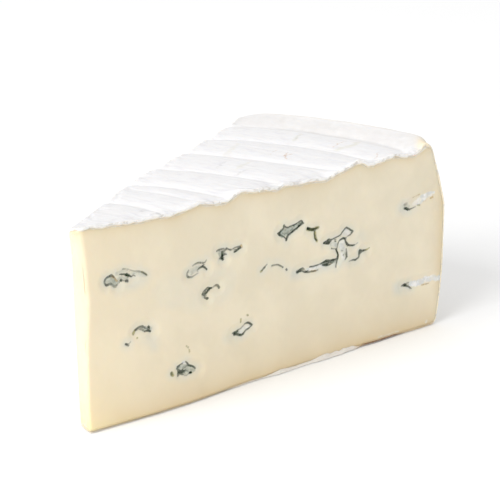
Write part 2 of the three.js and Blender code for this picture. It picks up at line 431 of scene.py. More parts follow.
        foot = bell(r - self.foot_swell_at, self.foot_swell_length)
        bow = bell(r - self.back_bow_at, self.back_bow_length)
        points += (self.foot_swell * (1.0 - up) ** 2 * foot * (1.0 - s))[..., None] * self.front_normal
        points += (self.back_bow * bow * s)[..., None] * self.back_normal
        points[..., 2] += self.foot_curl(points)
        at_foot = np.exp(-z / self.foot_wave_length) * np.exp(-from_front / self.foot_wave_length)
        along = np.stack([r, 0.0 * r, 0.0 * r], axis=-1)
        ripple = self.foot_wave_height * self.foot_wave.at(along) * at_foot
        points += ripple[..., None] * self.front_normal
        notch = eased(r, *self.slot_start) * (1.0 - eased(r, *self.slot_end))
        points[..., 2] += self.slot_height * notch * np.exp(-from_front / self.slot_reach) * np.exp(-z)
        return points

    def on_cut(self, points: Array, back: bool) -> Array:
        """Reads points as places on a cut face.

        Args:
            points: The points.
            back: Whether it is the back cut.

        Returns:
            The distance from the wheel's axis along the face, and the height.
        """
        half = self.cut_angle / 2.0
        along = points[..., 0] * math.cos(half) + points[..., 1] * math.sin(half if back else -half)
        return np.stack([along, points[..., 2]], axis=-1)

    def frame_shift(self) -> Array:
        """Finds how the wheel's axis lies in the frame, from the middles of the two boxes.

        Returns:
            What takes a point from the wheel's axis to the frame, in mm.
        """
        low, high = (np.array(corner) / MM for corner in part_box(CAD_NODE))
        radii, shares, heights = self.box_samples
        radius = np.linspace(self.nose_radius, self.wheel_radius, radii)[:, None, None]
        share = np.linspace(0.0, 1.0, shares)[None, :, None]
        height = np.linspace(0.0, self.wheel_height, heights)[None, None, :]
        mine = self.place(radius, share, height).reshape(-1, 3)
        shift = (low + high - mine.min(axis=0) - mine.max(axis=0)) / 2.0
        shift[2] = low[2] - mine[:, 2].min()
        return shift


# ------------------------ mould and stains


class Growth(Enum):
    """What a stroke on a face is grown over or stained with. The value names its attribute."""

    INK = "ink"  # blue-black mould that lines a crevice
    FELT = "felt"  # grey-green mould over the wall of a hole
    BLOOM = "bloom"  # white mould in a channel left by a piercing needle
    RUST = "rust"  # brown, oxidised edge
    OLIVE = "olive"  # yellow-green young mould
    FUZZ = "fuzz"  # thin mould round a dark crevice
    FLUFF = "fluff"  # torn rind that hangs over the paste
    HAZE = "haze"  # blue-grey cast in the paste round a vein


INK, FELT, BLOOM, RUST, OLIVE, FUZZ, FLUFF, HAZE = Growth


@dataclass(frozen=True)
class Stroke:
    """One smooth line of a growth through points on a face, in mm.

    Its half width and its tone, which is how densely it has grown, go evenly from their first values
    to those at the end, if these are given.
    """

    growth: Growth
    half_width: float
    points: Path
    end_half_width: float | None = None
    tone: float = 1.0
    end_tone: float | None = None

    def path(self, steps: int = 6) -> tuple[Array, Array, Array]:
        """Works out the line as short straight stretches.

        Between two points it is the Catmull-Rom curve ½(2b + (c − a)t + (2a − 5b + 4c − d)t² +
        (3b − a − 3c + d)t³), with the first and last points repeated.

        Args:
            steps: Stretches between two given points.

        Returns:
            The points of the line, shape (n, 2), and the half width and tone at each.
        """
        given = np.array(self.points, dtype=float)
        if len(given) == 1:
            given = np.vstack([given, given + 0.01])
        ring = np.vstack([given[:1], given, given[-1:]])
        a, b, c, d = (ring[k : k + len(given) - 1, None, :] for k in range(4))
        t = (np.arange(steps) / steps)[None, :, None]
        bend = (2.0 * a - 5.0 * b + 4.0 * c - d) * t**2
        curve = 0.5 * (2.0 * b + (c - a) * t + bend + (3.0 * b - a - 3.0 * c + d) * t**3)
        line = np.vstack([curve.reshape(-1, 2), given[-1:]])
        share = np.linspace(0.0, 1.0, len(line))
        width = self.half_width if self.end_half_width is None else self.end_half_width
        tone = self.tone if self.end_tone is None else self.end_tone
        return line, lerp(self.half_width, width, share), lerp(self.tone, tone, share)


@dataclass(frozen=True)
class StrokeMap:
    """All the growths on one face."""

    strokes: tuple[Stroke, ...]
    wander: LatticeNoise = LatticeNoise(seed=11, size=1.3, octaves=2)
    wander_by: float = 0.16
    reach: float = 5.0

    def nearest(self, growths: Sequence[Growth], places: Array) -> tuple[Array, Array, Array]:
        """Finds the stroke whose edge is nearest to each place.

        The foot of the perpendicular on a stretch from p to q is p + t(q − p), t being the clamped
        share (place − p)·(q − p) / |q − p|², and the edge is a half width nearer than the foot.

        Args:
            growths: Which growths count.
            places: Places on the face in mm, shape (n, 2).

        Returns:
            The offset of each place from the foot, shape (n, 2), and the half width and tone there.
            A place with no stroke within reach gets the offset (FAR, 0), no width and no tone.
        """
        space = np.column_stack([places, np.zeros(len(places))])
        bent = places + self.wander_by * np.column_stack(
            [self.wander.at(space), self.wander.at(space + [0.0, 0.0, 9.0])]
        )
        offset = np.tile([FAR, 0.0], (len(places), 1))
        half_width = np.zeros(len(places))
        tone = np.zeros(len(places))
        for stroke in self.strokes:
            if stroke.growth not in growths:
                continue
            line, widths, tones = stroke.path()
            low, high = line.min(axis=0) - self.reach, line.max(axis=0) + self.reach
            near = np.all((bent > low) & (bent < high), axis=1)
            start, run = line[:-1], np.diff(line, axis=0)
            gap = bent[near][:, None, :] - start[None]
            t = np.clip((gap * run).sum(axis=-1) / np.maximum((run**2).sum(axis=-1), 1e-12), 0.0, 1.0)
            foot = gap - t[..., None] * run
            width = lerp(widths[:-1], widths[1:], t)
            edge = np.linalg.norm(foot, axis=-1) - width
            best = edge.argmin(axis=1)
            rows = np.arange(len(best))
            index = np.flatnonzero(near)
            closer = edge[rows, best] < np.linalg.norm(offset[index], axis=1) - half_width[index]
            offset[index[closer]] = foot[rows, best][closer]
            half_width[index[closer]] = width[rows, best][closer]
            tone[index[closer]] = lerp(tones[:-1], tones[1:], t)[rows, best][closer]
        return offset, half_width, tone

    def depth(self, growths: Sequence[Growth], places: Array) -> Array:
        """The signed distance in mm from each place to the edge of those growths, below 0 inside."""
        offset, half_width, _ = self.nearest(growths, places)
        return np.linalg.norm(offset, axis=1) - half_width


FRONT_STROKES = (
    # A furred blob near the nose, with a slit and a thin arc running out of it.
    Stroke(INK, 0.2, ((13, 34), (12.4, 34.6), (12.4, 35.1)), 0.16, 0.7, 0.45),
    Stroke(INK, 0.16, ((12.4, 35.1), (13, 35.8), (13.9, 35.9)), 0.18, 0.35, 0.6),
    Stroke(INK, 0.24, ((14, 35.9), (14.5, 36), (15, 35.4)), 0.16, 0.75, 0.55),
    Stroke(INK, 0.2, ((13, 34), (13.9, 34.1), (14.8, 33.4)), 0.24, 0.6, 0.45),
    Stroke(INK, 0.24, ((14.8, 33.4), (15.4, 33.1), (16.2, 33.7)), 0.12, 0.45, 0.15),
    Stroke(INK, 0.09, ((16.7, 35.7), (17.8, 35.55), (18.6, 35.3)), 0.22, 0.8, 1),
    Stroke(INK, 0.32, ((18.6, 35.3), (19.2, 35), (19.9, 34.6)), 0.12),
    Stroke(INK, 0.12, ((17.6, 36.8), (18.2, 36.7)), tone=0.4),
    Stroke(INK, 0.08, ((18.6, 36.6), (19.6, 36.2), (20.8, 35.6), (22, 35.35)), 0.12, 0.12, 0.35),
    Stroke(INK, 0.12, ((22, 35.35), (23.2, 34.8), (24, 34.1)), 0.18, 0.35, 0.7),
    Stroke(INK, 0.24, ((16.9, 34.25), (17.2, 34.1)), tone=0.9),
    Stroke(INK, 0.08, ((17.3, 34), (18.2, 33.8)), tone=0.35),
    Stroke(INK, 0.26, ((18.3, 33.8), (18.7, 33.7)), tone=0.9),
    Stroke(INK, 0.1, ((20.5, 34.7), (21, 34.4)), tone=0.5),
    Stroke(FELT, 1, ((13.3, 34.9), (14.4, 34.6), (15.6, 33.8)), 0.5, 0.5, 0.8),
    Stroke(FELT, 0.6, ((16.4, 34.6), (18.6, 34.4)), 0.4, 0.3, 0.4),
    Stroke(FELT, 0.4, ((15.8, 36.1), (17.4, 36.3), (19, 36.3)), 0.3, 0.18),
    Stroke(FELT, 0.5, ((20.6, 35.2), (22, 34.8), (23.6, 34)), 0.4, 0.12),
    Stroke(RUST, 0.24, ((14.6, 35.7), (15.3, 35), (15.8, 34.3)), 0.14),
    Stroke(OLIVE, 0.12, ((23, 35.05), (23.9, 34.5), (24.3, 33.9))),
    Stroke(HAZE, 0.7, ((16, 33), (20, 32.5), (23.6, 33.2)), 0.5, 0.7),
    # Two small open curls and a hooked one, a third of the way along.
    Stroke(INK, 0.14, ((36.5, 32.5), (36, 31.7), (36.2, 31)), 0.22, 0.35, 0.5),
    Stroke(INK, 0.22, ((36.2, 31), (37, 30.7), (37.8, 30.7), (39.4, 31.1)), 0.08, 0.7, 0.15),
    Stroke(INK, 0.1, ((39.1, 31.9), (39.9, 32.4), (40.7, 32.6)), 0.2, 0.4, 0.95),
    Stroke(INK, 0.18, ((40.7, 32.6), (41.3, 32.2), (41.8, 31.6)), 0.2, 0.8, 0.95),
    Stroke(INK, 0.14, ((37.7, 33.3), (38.9, 33.7), (40.1, 33.6)), 0.18, 0.3, 0.6),
    Stroke(INK, 0.16, ((40.9, 33.4), (41.3, 33.4), (41.8, 34)), 0.1, 0.55, 0.35),
    Stroke(FELT, 0.8, ((37.4, 32), (39.6, 32.5)), 0.5, 0.3, 0.2),
    Stroke(INK, 0.16, ((45, 35.4), (46, 35.6), (47.2, 35.6), (47.5, 34.9)), 0.12, 0.65, 0.5),
    Stroke(INK, 0.34, ((46.8, 34.8), (46.8, 34.1)), 0.36, 0.8, 1),
    Stroke(INK, 0.26, ((46.8, 34.1), (46.6, 33.4), (46.9, 33)), 0.24, 0.95, 1),
    Stroke(INK, 0.14, ((46.9, 34.2), (47.9, 34)), 0.1, 0.9, 0.6),
    Stroke(INK, 0.12, ((46.5, 33.3), (45.8, 33.4)), 0.1, 0.8, 0.4),
    Stroke(FELT, 0.5, ((45.8, 34.9), (46.2, 34)), tone=0.6),
    Stroke(INK, 0.18, ((48, 35.4), (48.6, 35.1), (49.3, 34.8)), 0.16, 0.75, 0.6),
    Stroke(INK, 0.09, ((49.4, 34.9), (50.8, 35.15), (52, 35)), 0.14, 0.4, 0.7),
    Stroke(INK, 0.18, ((50.4, 34.2), (51.4, 34.45), (52.3, 34.75)), 0.22, 0.85, 1),
    Stroke(RUST, 0.32, ((52.4, 35.2), (52.75, 34.8)), 0.2),
    Stroke(INK, 0.26, ((40.7, 25.8), (41.4, 25.5)), 0.2, 0.65, 0.6),
    Stroke(INK, 0.14, ((40.8, 26), (41.4, 26.7), (42.1, 27.1), (42.8, 26.9)), 0.16, 0.55, 0.8),
    Stroke(INK, 0.18, ((41.4, 25.7), (42.1, 26.2), (42.7, 26.75)), 0.24, 0.8, 1),
    Stroke(INK, 0.24, ((42.7, 26.8), (43.5, 26.75)), 0.12),
    Stroke(INK, 0.08, ((43.6, 26.8), (44.5, 27)), 0.16, 0.3, 0.5),
    Stroke(INK, 0.2, ((44.8, 27.1), (45.3, 26.9), (45.5, 26.4)), 0.26, 0.6, 0.8),
    Stroke(INK, 0.16, ((41.2, 24.9), (42, 24.5)), 0.28, 0.6, 0.85),
    Stroke(FELT, 0.5, ((40.9, 25.4), (42.4, 26.4)), 0.3, 0.5, 0.2),
    # Low on the nose side: an arc over olive mould, with dots round it.
    Stroke(OLIVE, 0.34, ((20, 20.9), (20.5, 21.5)), 0.25),
    Stroke(INK, 0.22, ((20.8, 21.6), (21.4, 21.9), (22.2, 22), (23, 21.8)), 0.2, 0.7, 0.8),
    Stroke(INK, 0.16, ((23, 21.8), (23.8, 21.4)), 0.1, 0.7, 0.4),
    Stroke(INK, 0.09, ((21.7, 21.5), (22.7, 21.1), (23.5, 20.6)), 0.14, 0.35, 0.75),
    Stroke(INK, 0.2, ((24, 20.75), (24.6, 20.6), (25.1, 20.3)), 0.16, 0.8, 0.9),
    Stroke(INK, 0.2, ((24.5, 21.5), (24.7, 21.3)), tone=0.95),
    Stroke(FELT, 0.5, ((23.6, 21.2), (25.1, 20.8)), 0.4, 0.6, 0.5),
    Stroke(INK, 0.2, ((17.9, 18.9), (18.7, 18.4)), 0.22, 0.75, 0.75),
    Stroke(INK, 0.1, ((18.9, 18.7), (19.3, 19.2)), tone=0.3),
    Stroke(OLIVE, 0.18, ((21.2, 19.5),)),
    Stroke(HAZE, 1.2, ((23.5, 19.4), (25.2, 18.2), (26.3, 16.6)), 0.6, 0.55),
    Stroke(HAZE, 3, ((30, 29), (38, 26.5), (46, 27)), 4, 0.25, 0.35),
    # A furred hole low down, with a thin stem above it.
    Stroke(INK, 0.18, ((32.8, 9.7), (33.5, 9.9), (34.3, 10.2)), 0.12, 0.75, 0.65),
    Stroke(INK, 0.14, ((32.6, 9.3), (33.1, 8.8), (33.3, 8.1)), 0.34, 0.7, 0.9),
    Stroke(INK, 0.3, ((33.2, 8), (33, 7.3)), 0.14, 0.85, 0.5),
    Stroke(INK, 0.3, ((33.4, 8), (34.25, 8.3)), 0.36, 0.9, 1),
    Stroke(INK, 0.26, ((34.3, 8.3), (35, 8.15), (35.8, 7.9)), 0.08, 1, 0.5),
    Stroke(INK, 0.16, ((33.7, 7.8), (34.5, 7.4)), 0.12, 0.8, 0.5),
    Stroke(INK, 0.14, ((35.3, 10.3), (35.9, 9.8), (36.3, 9.3)), 0.2, 0.65, 0.9),
    Stroke(INK, 0.2, ((36.3, 9.25), (37.2, 8.9), (37.8, 8.5), (38.2, 8.1)), 0.14, 1, 0.7),
    Stroke(INK, 0.24, ((36.4, 7.3), (36.9, 7.25)), 0.22),
    Stroke(INK, 0.08, ((34.8, 7.1), (35.6, 6.95), (36.2, 7.1)), tone=0.3),
    Stroke(INK, 0.08, ((34.6, 9.2), (35.4, 9.1), (36, 9.3)), tone=0.35),
    Stroke(FELT, 1.1, ((34, 8.9), (35.6, 8.6), (37.6, 8.1)), 0.7, 0.6, 0.5),
    Stroke(FELT, 0.4, ((34.2, 7.8), (36.4, 7.6)), tone=0.5),
    Stroke(BLOOM, 0.3, ((34.6, 10.4), (35.1, 10.1)), 0.2),
    Stroke(INK, 0.14, ((31.1, 8.6), (31.4, 8.1)), 0.1, 0.4, 0.3),
    Stroke(OLIVE, 0.34, ((31.1, 8.5), (31.5, 8))),
    Stroke(OLIVE, 0.12, ((35.6, 14.2), (36, 13.8))),
    Stroke(OLIVE, 0.12, ((36.3, 13.2), (36.3, 12.5))),
    # A flat loop in the middle, its left end dark and its right end brown.
    Stroke(INK, 0.12, ((49.6, 14), (50.5, 14)), 0.24, 0.5, 1),
    Stroke(INK, 0.26, ((50.5, 13.9), (51.3, 14.3)), 0.18, 1, 0.85),
    Stroke(INK, 0.22, ((50.2, 13.4), (51, 13.5)), 0.28, 0.8, 1),
    Stroke(INK, 0.24, ((51, 13.4), (52, 13), (52.7, 12.8)), 0.22, 1, 0.85),
    Stroke(INK, 0.14, ((51.4, 14.4), (52.4, 14.5), (53.2, 15.1)), 0.1, 0.6, 0.35),
    Stroke(INK, 0.12, ((53.7, 15.5), (54.5, 15.5)), 0.18, 0.6, 0.85),
    Stroke(INK, 0.18, ((54.6, 15.5), (55.4, 15.1), (55.9, 14.6)), 0.2, 0.8, 0.85),
    Stroke(INK, 0.16, ((55.8, 14.5), (55.2, 14.2)), 0.12, 0.7, 0.6),
    Stroke(INK, 0.2, ((54.9, 14.1), (54.3, 13.9), (53.6, 13.4)), 0.14, 0.85, 0.5),
    Stroke(INK, 0.12, ((53.6, 13.4), (53.1, 12.9)), 0.2, 0.6, 0.85),
    Stroke(FELT, 0.5, ((50.6, 13.7), (51.6, 13.8)), 0.4, 0.9, 0.4),
    Stroke(BLOOM, 0.4, ((52.3, 13.7), (53.6, 14.5), (54.9, 14.8)), 0.3, 0.7),
    Stroke(RUST, 0.1, ((54.8, 15.7), (55.4, 15.3))),
    Stroke(OLIVE, 0.16, ((52.3, 17), (52.3, 16.3))),
    Stroke(OLIVE, 0.14, ((54.2, 17.6), (54.6, 17.4))),
    Stroke(HAZE, 0.7, ((48.3, 13.7), (50.6, 12.7)), tone=0.6),
    # An arrow-shaped hole with a grey-green floor.
    Stroke(INK, 0.2, ((64.2, 35.9), (65.1, 36.35), (65.8, 36.9)), 0.1, 0.95, 0.65),
    Stroke(INK, 0.14, ((65.9, 36.9), (66.1, 37.6)), 0.2, 0.7, 0.85),
    Stroke(INK, 0.18, ((66.2, 37.5), (66.9, 36.9), (68.3, 36.9), (69.9, 37.1)), 0.1, 0.9, 0.7),
    Stroke(INK, 0.1, ((69.9, 37.1), (71.6, 37.6), (72.4, 36.95)), 0.16, 0.75, 0.85),
    Stroke(INK, 0.16, ((72.3, 36.9), (71.2, 36.5), (70.1, 36)), 0.22, 0.8, 1),
    Stroke(INK, 0.18, ((70.1, 36), (68.6, 35.3), (67.4, 34.8)), 0.2, 0.9, 0.85),
    Stroke(INK, 0.2, ((67.3, 34.7), (66.7, 33.7)), 0.22, 0.8, 0.95),
    Stroke(INK, 0.12, ((66.6, 33.8), (66.2, 34.5), (65.4, 35.1), (64.4, 35.5)), 0.18, 0.75, 0.85),
    Stroke(FELT, 1.05, ((65.4, 35.8), (67.4, 35.8), (71.3, 36.9)), 0.45),
    Stroke(INK, 0.28, ((73.8, 35.35), (74.8, 34.9), (76.1, 34.6)), 0.26),
    Stroke(INK, 0.22, ((76.1, 34.6), (77.2, 34.8)), 0.12, 0.95, 0.6),
    Stroke(INK, 0.13, ((76.2, 34.2), (76.2, 33.1), (76.3, 32.3), (76.8, 31.7)), 0.15, 0.5, 0.75),
    Stroke(OLIVE, 0.36, ((73.6, 35.2), (75.2, 34.8), (77.4, 34.8)), 0.3),
    Stroke(OLIVE, 0.3, ((76.2, 33.8), (76.4, 32.4), (76.9, 31.6))),
    # The largest vein, branching right of the middle.
    Stroke(INK, 0.16, ((79.2, 30.4), (80.1, 30.45), (80.8, 30.55)), 0.6, 1, 0.9),
    Stroke(INK, 0.58, ((80.8, 30.6), (81.4, 30.65), (82, 30.75)), 0.14, 0.9, 0.8),
    Stroke(INK, 0.11, ((82, 30.8), (83.4, 31.1), (84.8, 31.35), (85.5, 32)), 0.15, 0.75, 0.7),
    Stroke(INK, 0.16, ((85.5, 32), (86.5, 32.8), (87.4, 32.7), (89.1, 31.5)), 0.18, 0.7, 0.9),
    Stroke(INK, 0.22, ((89, 31.4), (88.3, 30.85), (87.2, 30.6)), 0.08, 0.9, 0.4),
    Stroke(INK, 0.1, ((83.9, 28.3), (84.2, 29.3), (84.9, 30.2)), 0.16, 0.3, 0.8),
    Stroke(
        INK, 0.18, ((84.9, 30.2), (85.8, 30.4), (86.5, 30.15), (86.8, 29.4), (87.2, 28.7)), 0.22, 0.8, 1
    ),
    Stroke(INK, 0.2, ((87.2, 28.7), (87.9, 28.2), (88.9, 27.95), (89.8, 27.9)), 0.14, 1, 0.8),
    Stroke(INK, 0.08, ((89.8, 27.9), (90.9, 28.15)), tone=0.3),
    Stroke(INK, 0.14, ((81.9, 28.5), (82.9, 28.25)), 0.08, 0.75, 0.3),
    Stroke(INK, 0.18, ((83.3, 28.1), (84, 26.9), (84, 25.6)), 0.2, 0.9, 0.95),
    Stroke(INK, 0.18, ((84, 25.5), (83.7, 24.4), (83.4, 23.4)), 0.14, 0.9, 0.5),
    Stroke(INK, 0.12, ((86.9, 27.4), (87.1, 26.3), (87.1, 25.5)), 0.22, 0.5, 0.85),
    Stroke(INK, 0.16, ((87, 25.3), (86.6, 24.8)), 0.12, 0.7, 0.5),
    Stroke(INK, 0.14, ((83.1, 30.2), (83.4, 30.1)), tone=0.75),
    Stroke(INK, 0.1, ((85.4, 27.35), (85.7, 27.2)), tone=0.35),
    Stroke(INK, 0.12, ((85.8, 26.2), (86.1, 26.1)), tone=0.35),
    Stroke(BLOOM, 0.7, ((86.6, 31.8), (88, 31.6)), 0.4, 0.55),
    Stroke(BLOOM, 0.8, ((85.4, 29.4), (85.6, 27.6), (86, 25.4)), 0.6, 0.5),
    Stroke(BLOOM, 0.5, ((82, 30.1), (83.2, 29.2)), tone=0.4),
    Stroke(FELT, 0.5, ((81.8, 29.7), (83.4, 29.2)), tone=0.3),
    Stroke(FELT, 0.6, ((85.2, 28.6), (86.4, 26.2)), tone=0.25),
    Stroke(HAZE, 1.6, ((85.4, 29), (86.2, 26))),
    Stroke(HAZE, 0.9, ((89, 30), (92.5, 29.2)), tone=0.5),
    # Its long lower arm, blue-grey round the edges and brown in the middle.
    Stroke(INK, 0.18, ((70.4, 24.9), (71.4, 24.95)), 0.34, 0.6, 1),
    Stroke(INK, 0.2, ((71.4, 25.3), (72.2, 25.5), (72.8, 25.1)), 0.1, 0.9, 0.4),
    Stroke(INK, 0.12, ((71.9, 24.75), (72.8, 24.45)), 0.2, 0.5, 0.8),
    Stroke(INK, 0.26, ((73.2, 24.35), (74.1, 24.2)), 0.18, 1, 0.85),
    Stroke(INK, 0.16, ((74.3, 24.1), (75.8, 23.95), (77.3, 24)), 0.12, 0.6, 0.4),
    Stroke(INK, 0.14, ((74.7, 25.3), (75.9, 25.2), (77.4, 25.2), (78.6, 25.3)), 0.12, 0.8, 0.7),
    Stroke(INK, 0.16, ((78.6, 25.3), (79.4, 25.45), (80.1, 25.65)), 0.3, 0.8, 1),
    Stroke(INK, 0.26, ((80.1, 25.65), (81.2, 25.5), (82.9, 25.5), (84, 25.5)), 0.18, 0.95, 0.85),
    Stroke(INK, 0.14, ((79, 24.8), (79.8, 24.7)), 0.26, 0.7, 1),
    Stroke(INK, 0.26, ((79.8, 24.65), (80.8, 24.6)), 0.18),
    Stroke(INK, 0.18, ((80.9, 24.55), (82.4, 24.75)), 0.1, 0.75, 0.4),
    Stroke(FELT, 0.5, ((70.6, 25), (72.4, 25)), 0.3, 0.9, 0.5),
    Stroke(FELT, 0.5, ((79.2, 25.1), (83, 25.1)), 0.4, 0.9, 0.6),
    Stroke(BLOOM, 0.35, ((73.6, 24.9), (76.4, 24.7), (78.6, 24.9)), 0.3, 0.7),
    Stroke(RUST, 0.2, ((75.2, 24), (76.8, 23.9)), 0.14),
    Stroke(RUST, 0.16, ((81, 24.6), (82, 24.7)), 0.1),
    Stroke(HAZE, 0.8, ((69.4, 24.9), (76, 24.5), (85, 24.6))),
    Stroke(INK, 0.1, ((87.9, 24), (88.9, 24.05), (90.2, 23.95)), 0.2, 0.3, 0.8),
    Stroke(INK, 0.18, ((90.3, 23.95), (91.2, 24.2), (91.5, 25)), 0.14, 0.8, 0.6),
    Stroke(INK, 0.2, ((91.4, 25), (91.7, 25.9)), 0.34, 0.8, 1),
    Stroke(INK, 0.3, ((91.8, 26), (92.7, 25.85), (93.6, 25.8)), 0.14, 1, 0.75),
    Stroke(OLIVE, 0.16, ((93.7, 25.8), (94.9, 26)), 0.08),
    Stroke(OLIVE, 0.24, ((58.6, 27.5), (59.1, 27.7))),
    Stroke(INK, 0.14, ((59.1, 27.75), (59.7, 28.1), (60.1, 28.3)), 0.2, 0.6, 0.8),
    Stroke(INK, 0.12, ((60.2, 28.5), (60.7, 28.8)), tone=0.3),
    Stroke(INK, 0.16, ((62.3, 28.2), (63.8, 28.2), (64.8, 27.7), (65.8, 27.1)), 0.17, 0.42, 0.6),
    Stroke(INK, 0.22, ((66.95, 26.3), (67.1, 26.2)), tone=0.7),
    # Two needle channels that come in from the rim, white inside and dark at their ends.
    Stroke(INK, 0.18, ((107.4, 33.95), (107.9, 33.85), (108.6, 33.6)), 0.28, 0.9, 1),
    Stroke(INK, 0.26, ((108.7, 33.5), (109.3, 33.35)), 0.16, 0.95, 0.8),
    Stroke(INK, 0.13, ((109.6, 33.45), (110.4, 33.6), (111.3, 33.7)), 0.08, 0.7, 0.3),
    Stroke(INK, 0.3, ((107.5, 34.9), (108.2, 35.1)), 0.24, 0.18, 0.12),
    Stroke(FELT, 0.6, ((107.2, 34.6), (108.8, 34.3)), 0.4, 0.35, 0.2),
    Stroke(HAZE, 1, ((106.6, 34.2), (109.4, 33.6)), 0.7),
    Stroke(BLOOM, 0.4, ((110.6, 34.6), (112.2, 35), (113.6, 35.5)), 0.95, 0.4, 1),
    Stroke(BLOOM, 0.9, ((113.6, 35.6), (115.4, 36), (117.9, 36.4)), 0.3),
    Stroke(RUST, 0.06, ((110.2, 36.4), (112.6, 36.8))),
    Stroke(OLIVE, 0.16, ((112, 34.1), (112.9, 34)), tone=0.7),
    Stroke(RUST, 0.18, ((116.8, 35.1), (117.6, 35.2))),
    Stroke(RUST, 0.06, ((114, 34.6), (115.2, 34.7))),
    Stroke(INK, 0.14, ((106.9, 13.3), (107.6, 13.3)), 0.24, 0.4, 0.8),
    Stroke(INK, 0.34, ((108, 13.3), (108.4, 13.2)), 0.3),
    Stroke(INK, 0.2, ((108.6, 13.05), (109.4, 12.8), (110, 12.2)), 0.18, 0.95, 0.8),
    Stroke(INK, 0.18, ((110.1, 12.1), (110.7, 11.8)), 0.1, 0.7, 0.4),
    Stroke(INK, 0.12, ((108.9, 13.9), (109.5, 13.8)), tone=0.35),
    Stroke(HAZE, 0.9, ((105.4, 13.2), (109, 12.8))),
    Stroke(BLOOM, 0.7, ((110.4, 13.3), (112.5, 12.9), (116, 13.3)), 0.75),
    Stroke(BLOOM, 0.72, ((116, 13.3), (118.6, 13.1), (121.2, 12.4)), 0.6),
    Stroke(RUST, 0.16, ((114.4, 12.1), (115.6, 12), (117, 11.9)), 0.06),
    # White specks of rind rubbed on to the foot near the rim.
    Stroke(BLOOM, 0.2, ((99, 1.3), (102, 1.2), (106, 1.3)), 0.12, 0.5, 0.4),
    Stroke(BLOOM, 0.25, ((116.2, 1.4), (116.6, 1.7)), tone=0.6),
)

# Marks on the rind's top, as [x, y] from the wheel's axis.
TOP_STROKES = (
    Stroke(RUST, 0.12, ((84.4, -4.3), (85.6, -3.4), (87, -3.2)), 0.05, 0.8, 1),
    Stroke(RUST, 0.16, ((86.4, -2.7), (88.2, -2.2), (89.6, -0.9)), 0.06, 1, 0.6),
    Stroke(RUST, 0.05, ((86, -1.8), (87.6, -3), (88.9, -3.1)), tone=0.8),
    Stroke(RUST, 0.05, ((84.5, 1), (87.2, 1.8), (90, 2.2)), tone=0.6),
    Stroke(RUST, 0.15, ((102, -7.5), (105, -7.2), (109, -7.4)), 0.05, 1, 0.7),
    Stroke(OLIVE, 0.6, ((101, -9.4), (105, -11), (109, -10.6)), 0.3, 0.8),
    Stroke(OLIVE, 0.2, ((102, 4.5), (108, 6.5)), tone=0.8),
    Stroke(FELT, 0.08, ((103, 4.9), (107, 6)), tone=0.7),
    Stroke(OLIVE, 0.2, ((80, 11), (85, 12.4), (90, 14)), 0.1, 0.6),
    Stroke(FELT, 0.1, ((68, 5), (71, 6.2), (74, 7)), tone=0.5),
    Stroke(OLIVE, 0.3, ((70, 0.4), (73, 1), (76, 1.6)), 0.2, 0.6),
    Stroke(FELT, 0.08, ((66, -2), (71, -2.1)), tone=0.6),
    Stroke(RUST, 0.03, ((97, -23), (100, -21.6), (103, -20.5)), tone=0.6),
    Stroke(RUST, 0.04, ((104, -25.5), (107, -25.4)), tone=0.8),
    Stroke(FELT, 0.12, ((62, -15.2), (66, -16.4), (72, -18)), 0.1, 0.6),
    Stroke(FELT, 0.12, ((26.5, -2.7), (27, -3.1))),
    Stroke(FELT, 0.1, ((25.5, -6.5), (28, -7.1)), tone=0.7),
    Stroke(FELT, 0.15, ((38.5, -9.9), (42.5, -10.9)), tone=0.7),
    Stroke(FELT, 0.25, ((58, -15.1), (62, -16.2)), tone=0.9),
    Stroke(FELT, 0.2, ((64.5, -16.6), (69.5, -18)), tone=0.8),
    Stroke(FELT, 0.15, ((93.5, -24.3), (95.5, -24.9)), tone=0.6),
    Stroke(FELT, 0.15, ((101.5, -26.6), (102.8, -27)), tone=0.6),
)

FRONT_POCKETS = (
    Pocket(1.8, ((12.8, 34.8), (14.2, 35), (15.6, 34))),
    Pocket(0.9, ((16.6, 35.6), (18.2, 35.3), (19.8, 34.7))),
    Pocket(1.1, ((36.3, 31.6), (38, 31.5), (40.4, 32.4), (41.6, 31.9))),
    Pocket(1.3, ((45.4, 35.2), (46.7, 34.3), (46.8, 33.2))),
    Pocket(0.8, ((48.2, 35.3), (50.2, 34.9), (52.2, 34.9))),
    Pocket(0.9, ((41.7, 24.7), (41, 25.8), (42.6, 26.8), (45.2, 26.8))),
    Pocket(0.9, ((20.2, 21.2), (22, 21.9), (24, 21.4), (25.1, 20.5))),
    Pocket(2.2, ((33.4, 8.8), (35.6, 8.7), (37.8, 8.2))),
    Pocket(1.5, ((49.8, 13.9), (52.4, 14.2), (55.2, 14.8))),
    Pocket(2, ((65, 35.9), (67.4, 35.9), (71.4, 36.9))),
    Pocket(0.7, ((73.9, 35.4), (75.4, 34.8), (76.9, 34.7))),
    Pocket(1.2, ((79.8, 30.5), (81.6, 30.7), (84.6, 31.2))),
    Pocket(1.4, ((86.2, 32.1), (87.2, 32.1), (88.6, 31.6))),
    Pocket(0.9, ((84, 26.6), (84.2, 28.6), (85.4, 30.2), (86.8, 29.2), (89.4, 28.1))),
    Pocket(1.2, ((70.6, 24.8), (75, 24.7), (79.6, 25.1), (82.8, 25.4))),
    Pocket(0.7, ((89.2, 24.1), (91.2, 24.2), (92.2, 25.7), (93.8, 25.8))),
    Pocket(1.4, ((107.4, 34), (111, 34.7), (117, 36.1))),
    Pocket(1.3, ((107.2, 13.3), (111.4, 12.9), (117, 13.1))),
)
